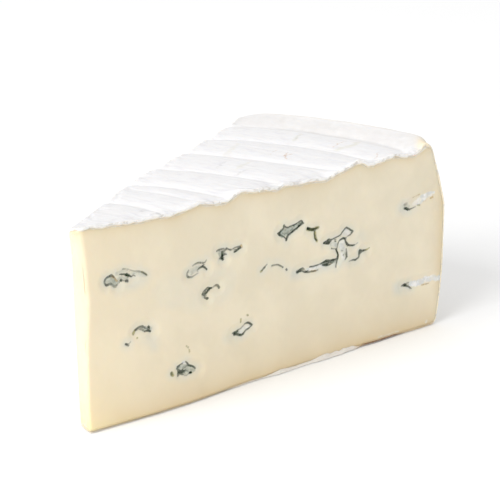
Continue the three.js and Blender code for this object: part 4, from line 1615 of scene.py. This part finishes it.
    def tints(self, points: Array) -> dict[str, Array]:
        """How far the paste is painted light at the nose or ripe, and how far it is below the torn rind.

        thin and glow are painted light, standing in for light shining through the thin nose: thin falls
        off exponentially with the distance from the nose, and glow with that and with the height. ripe is
        the largest of three falls, each a sum of exponentials in the depth below the border under the
        top, above the base or inside the rim, shaken by the wave. fluff is the distance in mm from the
        torn rind.

        Args:
            points: The points of the paste.

        Returns:
            The four fields by name.
        """
        reach = np.hypot(points[:, 0], points[:, 1])
        border = self.form.border(reach)
        shake = self.wave.at(points * 2.0)
        below_top = np.maximum(border - points[:, 2] + self.shake_height * shake, 0.0)
        other_shake = self.wave.at(points * 2.0 + 40.0)
        above_base = np.maximum(points[:, 2] + self.shake_height * other_shake, 0.0)
        inside_rim = np.maximum(self.form.wheel_radius - 1.0 - reach, 0.0)
        at_nose = np.exp(-np.maximum(reach - self.nose_from, 0.0) / self.nose_length)
        falls = (
            fading(below_top, self.ripe_under_top),
            fading(above_base, self.ripe_above_base) * (1.0 - self.nose_spared * at_nose),
            fading(inside_rim, self.ripe_inside_rim),
        )
        return {
            # Painted light through the thin nose, and a painted glow at its foot
            "thin": self.thin_most * np.exp(-np.maximum(reach - self.thin_from, 0.0) / self.thin_length),
            "glow": at_nose * np.exp(-above_base / self.glow_height),
            "ripe": np.maximum.reduce(falls),
            "fluff": border - points[:, 2],
        }


# ------------------------ the rind


@dataclass(frozen=True)
class RindShell:
    """The rind: a thin shell over the top, down the rim and under the base, open at the nose.

    Its rows run along that C, and each row is a closed loop: over the outside from the front cut to
    the back cut, over the torn edge at the back cut, back along the inside, and over the torn edge
    at the front cut, which stands a little proud of the paste.
    """

    form: WedgeForm
    top_step: float = 0.42
    rim_stops: Point = (2.5, 5.0)  # mm above the base and below the top, where the step changes
    rim_steps: Triple = (0.5, 0.9, 0.6)
    base_step: float = 0.8
    outer_columns: int = 118
    edge_columns: int = 8
    inner_columns: int = 8
    rim_thickness: float = 0.45
    inner_thickness: float = 1.6
    inner_base_thickness: float = 1.28
    front_sway: float = 0.15
    front_limits: Point = (0.4, 1.6)
    lip_limits: Point = (0.15, 1.4)
    back_thickness: float = 1.2
    back_sway: float = 0.7
    back_limits: Point = (0.45, 3.2)
    back_base_thickness: float = 0.75
    back_base_sway: float = 0.35
    back_base_fray: float = 0.6
    back_base_limits: Point = (0.3, 1.4)
    proud: float = 0.14
    bulge_at: float = 0.35
    sunk: float = 0.3
    sunk_from: float = 0.85
    wave: LatticeNoise = LatticeNoise(seed=13, size=8.0, octaves=3)
    wave_height: float = 0.16
    crease: LatticeNoise = LatticeNoise(seed=17, size=1.0, octaves=2)
    crease_height: float = 0.07
    crease_stretch: float = 9.0
    smooth_edge: float = 1.2
    fray: LatticeNoise = LatticeNoise(seed=19, size=1.5, octaves=3)
    fray_out: float = 0.3
    fray_down: float = 0.42
    tuft: LatticeNoise = LatticeNoise(seed=47, size=1.9, octaves=3)
    tuft_height: float = 0.35
    tuft_length: float = 2.2
    # Painted light along the rack marks that softens the shade on their slopes, and how far it runs
    painted_mark_light: float = 0.3
    painted_mark_light_run: Point = (0.8, 0.4)  # in the mark's fall and rise
    torn_over: float = 0.8  # how torn the outer edge looks
    torn_base: float = 0.35
    gold_rim: float = 0.6
    # On the torn edge, gold is partly the rind's own colour where it thins and partly painted light
    # lifting the shade of the strip's underside
    gold_brow: float = 0.7
    gold_brow_from: Point = (0.45, 0.85)  # share of the way in over the torn edge
    gold_end: Point = (116.0, 119.5)
    gold_end_length: float = 5.0
    # Where painted shade greys the lip's slope: eased in over its start, out past its crest
    lip_shade_start: Point = (109.0, 114.0)
    lip_shade_end: Point = (116.5, 119.5)
    cream_lip: Point = (108.0, 114.0)
    cream_side: Point = (117.5, 121.0)
    cream_most: Point = (0.05, 0.75)  # over the lip and on the rim's side
    stain_wander: float = 0.7
    stains_above: float = 44.0
    base_lip: Path = (  # [radius, height] along the front foot
        (47.0, 0.2), (50.0, 0.35), (57.0, 0.45), (62.0, 0.55), (65.0, 0.95), (67.5, 0.65),
        (74.0, 0.75), (77.0, 1.0), (79.5, 1.5), (83.0, 1.2), (91.0, 1.05), (93.0, 0.4),
    )
    base_lip_out: Path = ((59.0, 0.0), (64.0, 0.6), (80.0, 0.8), (90.0, 0.6), (92.5, 0.0))
    brown_foot: Path = (
        (15.0, 0.25), (47.0, 0.3), (55.0, 0.15), (63.0, 0.0), (90.0, 0.0), (93.0, 0.7),
    )
    # Painted shadow in the gap under the lifted foot, as [radius, strength] along the front foot
    painted_slot_shadow: Path = ((91.0, 0.0), (95.0, 0.85), (106.0, 0.85), (110.0, 0.0))

    def profile(self) -> tuple[Array, Array]:
        """Spaces the rows along the C.

        Returns:
            The radius and the height of the outside for each row.
        """
        nose, wheel, high = self.form.nose_radius, self.form.wheel_radius, self.form.wheel_height
        low_stop, high_stop = self.rim_stops
        top = graded([nose, wheel], [self.top_step])
        rim = graded([0.0, low_stop, high - high_stop, high], self.rim_steps)[::-1]
        base = graded([nose, wheel], [self.base_step])[::-1]
        radius = np.concatenate([top, np.full(len(rim) - 2, wheel), base])
        height = np.concatenate([np.full(len(top), high), rim[1:-1], np.zeros(len(base))])
        return radius, height

    def thickness(self, radius: Array, height: Array, back: bool) -> tuple[Array, Array]:
        """Finds how thick the rind is where it shows at a cut.

        At the front cut it reaches from the top edge down to the paste's border and has a lip of given
        heights above the base, and at the back cut its thickness sways with the wave. Both are
        ragged by the fray.

        Args:
            radius: The radius of each row.
            height: The height of each row.
            back: Whether it is the back cut.

        Returns:
            The thickness below the top and above the base, for each row, in mm.
        """
        along = np.column_stack([radius, height, np.full(len(radius), 50.0 if back else 0.0)])
        ragged = self.fray_down * self.fray.at(along)
        if back:
            below_top = self.back_thickness + self.back_sway * self.wave.at(along) + ragged
            above_base = self.back_base_thickness + self.back_base_sway * self.wave.at(along + 30.0)
            above_base += self.back_base_fray * ragged
            return np.clip(below_top, *self.back_limits), np.clip(above_base, *self.back_base_limits)
        below_top = self.form.rind_edge + self.front_sway * self.wave.at(along) + ragged
        above_base = interpolated(radius, self.base_lip) * (1.0 + ragged)
        return np.clip(below_top, *self.front_limits), np.clip(above_base, *self.lip_limits)

    def inside(
        self, radius: Array, height: Array, below_top: Array | float, above_base: Array | float
    ) -> tuple[Array, Array]:
        """Finds the inner ends of lines through the rind, by shrinking the C by the thicknesses.

        Args:
            radius: The radius of each row.
            height: The height of each row.
            below_top: The thickness below the top.
            above_base: The thickness above the base.

        Returns:
            The radius and the height of those ends.
        """
        form = self.form
        shrink = 1.0 - self.rim_thickness / (form.wheel_radius - form.nose_radius)
        inner_radius = form.nose_radius + (radius - form.nose_radius) * shrink
        left = form.wheel_height - below_top - above_base
        return inner_radius, above_base + height / form.wheel_height * left

    def torn_edge(self, radius: Array, height: Array, back: bool) -> Array:
        """Works out the strip of rind that shows at a cut, from the outside to the inner end.

        With c the share of the way in and m the share where it bulges most, it stands out of the cut
        by proud × (1 − ((c − m) / (1 − m))²) plus the fray, both in proportion to the strip's width
        up to 1 mm, and by the base's lip, and it ends sunk in the paste.

        Args:
            radius: The radius of each row.
            height: The height of each row.
            back: Whether it is the back cut.

        Returns:
            The points, shape (rows, edge columns + 1, 3).
        """
        below_top, above_base = self.thickness(radius, height, back)
        inner_radius, inner_height = self.inside(radius, height, below_top, above_base)
        c = np.linspace(0.0, 1.0, self.edge_columns + 1)[None, :]
        r = lerp(radius[:, None], inner_radius[:, None], c)
        z = lerp(height[:, None], inner_height[:, None], c)
        points = self.form.place(r, 1.0 if back else 0.0, z)
        fray = self.fray.at(points * [1.0, 1.0, 1.4] + (70.0 if back else 0.0))
        bulge = 1.0 - ((c - self.bulge_at) / (1.0 - self.bulge_at)) ** 2
        width = np.minimum(np.hypot(radius - inner_radius, height - inner_height), 1.0)[:, None]
        out = width * (self.proud * bulge + self.fray_out * fray * (1.0 - c**2))
        out -= self.sunk * eased(c, self.sunk_from, 1.0)
        if not back:
            lip = (height == 0.0) * interpolated(radius, self.base_lip_out)
            out += lip[:, None] * (1.0 - c**2)
        return points + out[..., None] * (self.form.back_normal if back else self.form.front_normal)

    def outside(self, radius: Array, height: Array, shares: Array) -> Array:
        """Works out the outside: the wedge's own form, its top raised by wave, creases and tufts.

        The creases run across the wedge along the rack marks, and the tufts stand at the cut edges.

        Args:
            radius: The radius of each row.
            height: The height of each row.
            shares: The share of the way across for each column.

        Returns:
            The points, shape (rows, columns, 3).
        """
        form = self.form
        outer = form.place(radius[:, None], shares[None, :], height[:, None])
        from_edge = np.minimum(shares, 1.0 - shares)[None, :] * radius[:, None] * form.cut_angle
        is_top = (height == form.wheel_height)[:, None]
        stretched = outer * [1.0, 1.0 / self.crease_stretch, 1.0]
        lift = self.wave_height * self.wave.at(outer) + self.crease_height * self.crease.at(stretched)
        at_edge = is_top * bell(from_edge, self.tuft_length)
        tufts = at_edge * self.tuft_height * self.tuft.at(outer)
        outer[..., 2] += is_top * eased(from_edge, 0.0, self.smooth_edge) * lift + tufts
        return outer

    def surface(self) -> Surface:
        """Works out the rind's surface and the fields that its finish reads.

        Returns:
            The surface.
        """
        radius, height = self.profile()
        shares = np.linspace(0.0, 1.0, self.outer_columns + 1)[1:-1]
        outer = self.outside(radius, height, shares)
        front = self.torn_edge(radius, height, back=False)
        back = self.torn_edge(radius, height, back=True)
        inner_radius, inner_height = self.inside(
            radius, height, self.inner_thickness, self.inner_base_thickness
        )
        back_shares = np.linspace(1.0, 0.0, self.inner_columns + 2)[1:-1]
        inner = self.form.place(inner_radius[:, None], back_shares[None, :], inner_height[:, None])
        loops = np.concatenate([front[:, :1], outer, back, inner, front[:, :0:-1]], axis=1)
        rows, columns = loops.shape[:2]
        points = np.vstack([loops.reshape(-1, 3), loops[[0, -1]].mean(axis=1)])

        ends = {"torn": [0.5, 0.5], "under": [0.0, 1.0], "tan": [0.0, 0.5]}
        wear = self.wear_fields(radius, height, shares, columns)
        fields = {
            name: np.append(values.ravel(), ends.get(name, [0.0, 0.0])) for name, values in wear.items()
        }
        fields["cream"] = self.creaminess(points)
        # Painted shade on the lip's slope
        fields["painted_lip_shade"] = self.painted_lip_shading(points)
        is_upper = np.append(np.repeat(height > 1.0, columns), [True, False])
        fields.update(self.stain_fields(points, is_upper))
        return Surface(points, ring_triangles(rows, columns), fields)

    def wear_fields(self, radius: Array, height: Array, shares: Array, columns: int) -> dict[str, Array]:
        """Works out the fields that follow the rows and columns.

        torn is where the rind is torn, which is also where painted shade lies between its tufts. Painted
        light lies along the rack marks, falling off exponentially on either side. gold is where the torn
        edge thins towards the paste, down the rim's edge and at the front end of the rim, there as a bell
        curve; on the torn edge it is also painted light that lifts the shade of the strip's underside.
        under is the base, tan darkens its edge at the cuts, and slot is painted shadow there, in the gap
        under the lifted foot.

        Args:
            radius: The radius of each row.
            height: The height of each row.
            shares: The share of the way across for each column of the outside.
            columns: The number of all columns.

        Returns:
            The fields by name, shape (rows, columns).
        """
        form = self.form
        count = len(shares)
        column = np.arange(columns)[None, :]
        is_base = (height == 0.0)[:, None]
        is_top = (height == form.wheel_height)[:, None]
        is_side = ((radius == form.wheel_radius) & (height > 0.0))[:, None]
        is_front_edge = column >= columns - self.edge_columns
        at_cut = 1.0 * ((column == 0) | (column >= columns - self.edge_columns - 1))

        torn = np.where(column > count, 1.0, 0.0) + self.torn_over * (column == 0)
        torn = torn * np.where(is_base, self.torn_base, 1.0)
        inward = np.zeros(columns)
        inward[-self.edge_columns :] = np.linspace(1.0, 0.0, self.edge_columns + 1)[:-1]
        # Gold towards the paste: the rind's own colour where it thins, and painted light on the shaded
        # underside
        thin_gold_and_light = self.gold_brow * eased(inward[None, :], *self.gold_brow_from) * is_top
        torn = torn * (1.0 - thin_gold_and_light)

        # Painted light along the rack marks, softening the shade on their slopes
        painted_mark_light = np.zeros((len(radius), columns))
        for mark in form.marks:
            past = radius[:, None] - across(mark.front, mark.middle, mark.back, shares)[None, :]
            fall, rise = self.painted_mark_light_run[0] * mark.fall, self.painted_mark_light_run[1] * mark.rise
            near = self.painted_mark_light * np.exp(-np.abs(past) / np.where(past < 0.0, fall, rise)) * is_top
            painted_mark_light[:, 1 : count + 1] = np.maximum(painted_mark_light[:, 1 : count + 1], near)

        angle = np.zeros(columns)
        angle[1 : count + 1] = shares * form.cut_angle
        near_front = bell(angle * radius[:, None], self.gold_end_length)
        at_end = eased(radius, *self.gold_end)[:, None] * near_front * is_top
        at_end = at_end * ((column <= count) | is_front_edge)
        gold = np.maximum(self.gold_rim * at_cut * is_side + thin_gold_and_light, self.gold_rim * at_end)
        return {
            "torn": torn,
            "painted_mark_light": painted_mark_light,
            "gold": gold,
            "under": is_base * np.ones(columns),
            "tan": at_cut * is_base * interpolated(radius, self.brown_foot)[:, None],
            # Painted shadow in the gap under the lifted foot
            "slot": at_cut * is_base * interpolated(radius, self.painted_slot_shadow)[:, None],
        }

    def creaminess(self, points: Array) -> Array:
        """Wears the rind to cream: eased up over the lip and full on the rim's side.

        Args:
            points: The points of the rind.

        Returns:
            How cream each is, from 0 to 1.
        """
        reach = np.hypot(points[:, 0], points[:, 1])
        patch = 0.5 + 0.5 * self.wave.at(points * 1.7 + 11.0)
        on_lip, on_side = self.cream_most
        lip = on_lip * eased(reach, *self.cream_lip) * patch
        side = on_side * eased(reach, *self.cream_side) * (0.55 + 0.45 * patch)
        return np.clip(np.maximum(lip, side), 0.0, 1.0)

    def painted_lip_shading(self, points: Array) -> Array:
        """Paints shade on the lip's slope, which faces the light: eased up over its start and down past
        its crest.

        Args:
            points: The points of the rind.

        Returns:
            How much painted shade each takes.
        """
        reach = np.hypot(points[:, 0], points[:, 1])
        slope = eased(reach, *self.lip_shade_start) * (1.0 - eased(reach, *self.lip_shade_end))
        return slope * (0.75 + 0.35 * self.fray.at(points))

    def stain_fields(self, points: Array, is_upper: Array) -> dict[str, Array]:
        """Reads the stains of the top.

        Args:
            points: The points of the rind.
            is_upper: Which of them are above the base.

        Returns:
            The distance in mm to each kind of stain, and its tone, by the name of the field.
        """
        stains = StrokeMap(TOP_STROKES, wander_by=self.stain_wander)
        fields = {}
        is_top = is_upper & (points[:, 2] > self.stains_above)
        for growth in (FELT, RUST, OLIVE):
            offset, half_width, tone = stains.nearest([growth], points[:, :2])
            distance = np.linalg.norm(offset, axis=1) - half_width
            fields[growth.value] = np.where(is_top, distance, FAR)
            fields[growth.value + "_tone"] = tone
        return fields


@dataclass(frozen=True)
class RindCrumbs:
    """Loose grains and tufts of rind along the torn edges of the top."""

    form: WedgeForm
    count: int = 150
    spared: Point = (3.0, 4.0)  # mm without crumbs at the nose and at the rim
    smallest: float = 0.06
    largest: float = 0.2
    stretch: Point = (0.6, 1.3)
    deepest: float = 0.9
    farthest_out: float = 0.2
    back_share: float = 0.3
    grey_share: float = 0.05
    meridians: int = 8
    parallels: int = 5
    seed: int = 29
    lump: LatticeNoise = LatticeNoise(seed=31, size=0.35, octaves=2)
    lump_height: float = 0.35
    torn: float = 0.7
    cream: float = 0.3

    def ball(self) -> Array:
        """Works out a ball of radius 1.

        Returns:
            The points: a ring for each parallel, then the two poles.
        """
        turn = np.linspace(0.0, 2.0 * math.pi, self.meridians, endpoint=False)[None, :]
        tilt = np.linspace(0.0, math.pi, self.parallels + 2)[1:-1, None]
        flat = np.sin(tilt)
        ring = np.stack([flat * np.cos(turn), flat * np.sin(turn), np.cos(tilt) + 0.0 * turn], axis=-1)
        return np.vstack([ring.reshape(-1, 3), [[0.0, 0.0, 1.0], [0.0, 0.0, -1.0]]])

    def surface(self) -> Surface:
        """Works out all the crumbs as one mesh of small lumpy balls.

        Each copy of the ball is stretched, turned by two angles, lumped by the noise and set on the
        edge of the rind.

        Returns:
            The surface.
        """
        rng = np.random.default_rng(self.seed)
        form, count = self.form, self.count
        ball = self.ball()
        faces = ring_triangles(self.parallels, self.meridians)

        at_nose, at_rim = self.spared
        radius = rng.uniform(form.nose_radius + at_nose, form.wheel_radius - at_rim, count)
        is_back = rng.random(count) < self.back_share
        drop = rng.uniform(0.0, 1.0, count) ** 1.5 * self.deepest
        places = form.place(radius, is_back * 1.0, form.wheel_height - drop)
        normal = np.where(is_back[:, None], form.back_normal, form.front_normal)
        places += normal * rng.uniform(0.0, self.farthest_out, (count, 1))
        size = lerp(self.smallest, self.largest, rng.random(count) ** 2.2)
        stretch = size[:, None] * rng.uniform(*self.stretch, (count, 3))
        yaw = rng.uniform(0.0, math.pi, count)
        tip = rng.uniform(0.0, math.pi, count)
        zero, one = np.zeros(count), np.ones(count)
        turns = np.array(
            [[np.cos(yaw), -np.sin(yaw), zero], [np.sin(yaw), np.cos(yaw), zero], [zero, zero, one]]
        )
        tips = np.array(
            [[np.cos(tip), zero, np.sin(tip)], [zero, one, zero], [-np.sin(tip), zero, np.cos(tip)]]
        )
        middles = places[:, None, :]
        shaped = np.einsum("ijn,jkn,nmk->nmi", turns, tips, ball[None] * stretch[:, None, :]) + middles
        lumped = 1.0 + self.lump_height * self.lump.at(shaped)
        shaped = middles + (shaped - middles) * lumped[..., None]
        points = shaped.reshape(-1, 3)
        starts = np.arange(count)[:, None, None] * len(ball)

        fields = {name: np.zeros(len(points)) for name in ("under", "gold", "tan", "slot", "painted_lip_shade", "painted_mark_light")}
        fields["torn"] = np.full(len(points), self.torn)
        fields["cream"] = np.repeat(rng.random(count) ** 4 * self.cream, len(ball))
        for growth in (FELT, RUST, OLIVE):
            fields[growth.value] = np.full(len(points), FAR)
            fields[growth.value + "_tone"] = np.ones(len(points))
        is_grey = rng.random(count) < self.grey_share
        fields[FELT.value] = np.repeat(np.where(is_grey, -1.0, FAR), len(ball))
        return Surface(points, (faces[None] + starts).reshape(-1, 3), fields)


# ------------------------ the whole cheese and the studio


@dataclass(frozen=True)
class CheeseWedge:
    """The dressed wedge: paste, rind and crumbs, all of one body."""

    form: WedgeForm = WedgeForm()
    paste_finish: PasteFinish = PasteFinish()
    rind_finish: RindFinish = RindFinish()

    def build(self, shift: Array) -> list[bpy.types.Object]:
        """Builds the pieces and puts them in the place of the CAD solid.

        Args:
            shift: What takes a point from the wheel's axis to the frame, in mm.

        Returns:
            The pieces.
        """
        paste = self.paste_finish.make()
        rind = self.rind_finish.make()
        made = []
        for name, slot, surface, material in (
            ("paste", "paste", PasteBody(self.form).surface(), paste),
            ("rind", "rind", RindShell(self.form).surface(), rind),
            ("rind_crumbs", "rind", RindCrumbs(self.form).surface(), rind),
        ):
            piece = write_piece(name, surface, shift, material)
            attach(piece, "root")
            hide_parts(CAD_NODE)
            made.append(piece)
        return made


@dataclass(frozen=True)
class Studio:
    """White paper, a sheet of light overhead, a soft box on the nose side, a white room, the camera."""

    floor_half_width: float = 2.5  # m
    room_strength: float = 0.70
    roof_energy: float = 10.8
    roof_size: float = 3.0
    roof_height: float = 2.2
    key_energy: float = 47.0
    key_size: float = 1.67
    key_distance: float = 2.5
    key_direction: Triple = (-0.84, 0.14, 0.52)
    heading: float = math.radians(33.98)
    pitch: float = math.radians(17.25)
    distance: float = 425.0
    aim: Triple = (33.875, -27.53, 40.91)  # from the wheel's axis
    lens: float = 136.8  # mm
    sensor_width: float = 36.0
    clip: Point = (0.01, 20.0)  # m
    paper: PaperFinish = PaperFinish()

    def build(self, shift: Array) -> None:
        """Makes the floor, the light and the camera.

        Args:
            shift: What takes a point from the wheel's axis to the frame, in mm.
        """
        self.make_floor()
        self.make_light()
        self.make_camera(shift)

    def make_floor(self) -> None:
        """Lays the paper, a flat sheet under the base."""
        half = self.floor_half_width
        mesh = bpy.data.meshes.new("studio_floor")
        corners = [(-half, -half, 0.0), (half, -half, 0.0), (half, half, 0.0), (-half, half, 0.0)]
        mesh.from_pydata(corners, [], [(0, 1, 2, 3)])
        mesh.materials.append(self.paper.make())
        floor = bpy.data.objects.new("studio_floor", mesh)
        bpy.context.scene.collection.objects.link(floor)

    def make_light(self) -> None:
        """Hangs a wide sheet of light overhead and the soft box, and fills the room with white light."""
        scene = bpy.context.scene
        scene.view_settings.view_transform = "Standard"
        world = bpy.data.worlds.new("white_room")
        world.use_nodes = True
        background = world.node_tree.nodes["Background"]
        background.inputs["Color"].default_value = linear("#FFFFFF")
        background.inputs["Strength"].default_value = self.room_strength
        scene.world = world

        roof = Matrix.Translation((0.0, 0.0, self.roof_height))
        self.add_sheet("roof_sheet", self.roof_size, self.roof_energy, roof)
        direction = np.array(self.key_direction) / np.linalg.norm(self.key_direction)
        sideways = np.cross([0.0, 0.0, 1.0], direction)
        sideways /= np.linalg.norm(sideways)
        turn = np.column_stack([sideways, np.cross(direction, sideways), direction])
        stand = Matrix.Translation(direction * self.key_distance)
        key = stand @ Matrix(turn.tolist()).to_4x4()
        self.add_sheet("soft_box", self.key_size, self.key_energy, key)

    def add_sheet(self, name: str, size: float, energy: float, stand: Matrix) -> None:
        """Hangs a square light.

        Args:
            name: Its name.
            size: The length of its side, in metres.
            energy: Its power, in watts.
            stand: Where it hangs. It shines along its own −Z.
        """
        light = bpy.data.lights.new(name, "AREA")
        light.shape = "SQUARE"
        light.size = size
        light.energy = energy
        sheet = bpy.data.objects.new(name, light)
        sheet.matrix_world = stand
        bpy.context.scene.collection.objects.link(sheet)

    def make_camera(self, shift: Array) -> None:
        """Sets the camera: level, turned by heading from +X, looking down by pitch at the aim.

        Args:
            shift: What takes a point from the wheel's axis to the frame, in mm.
        """
        flat = math.cos(self.pitch)
        forward = np.array(
            [math.cos(self.heading) * flat, math.sin(self.heading) * flat, -math.sin(self.pitch)]
        )
        right = np.array([math.sin(self.heading), -math.cos(self.heading), 0.0])
        stand = (np.array(self.aim) + shift - self.distance * forward) * MM
        turn = np.column_stack([right, np.cross(right, forward), -forward])
        data = bpy.data.cameras.new("camera")
        data.sensor_width = self.sensor_width
        data.lens = self.lens
        data.clip_start, data.clip_end = self.clip
        camera = bpy.data.objects.new("camera", data)
        camera.matrix_world = Matrix.Translation(stand) @ Matrix(turn.tolist()).to_4x4()
        bpy.context.scene.collection.objects.link(camera)
        bpy.context.scene.camera = camera


def main() -> None:
    """Builds the cheese and its studio."""
    logging.basicConfig(level=logging.INFO, format="%(name)s: %(message)s")
    cheese = CheeseWedge()
    shift = cheese.form.frame_shift()
    LOG.info("the wheel's axis lies at %s mm in the frame", np.round(shift, 2).tolist())
    cheese.build(shift)
    Studio().build(shift)


if __name__ == "__main__":
    main()
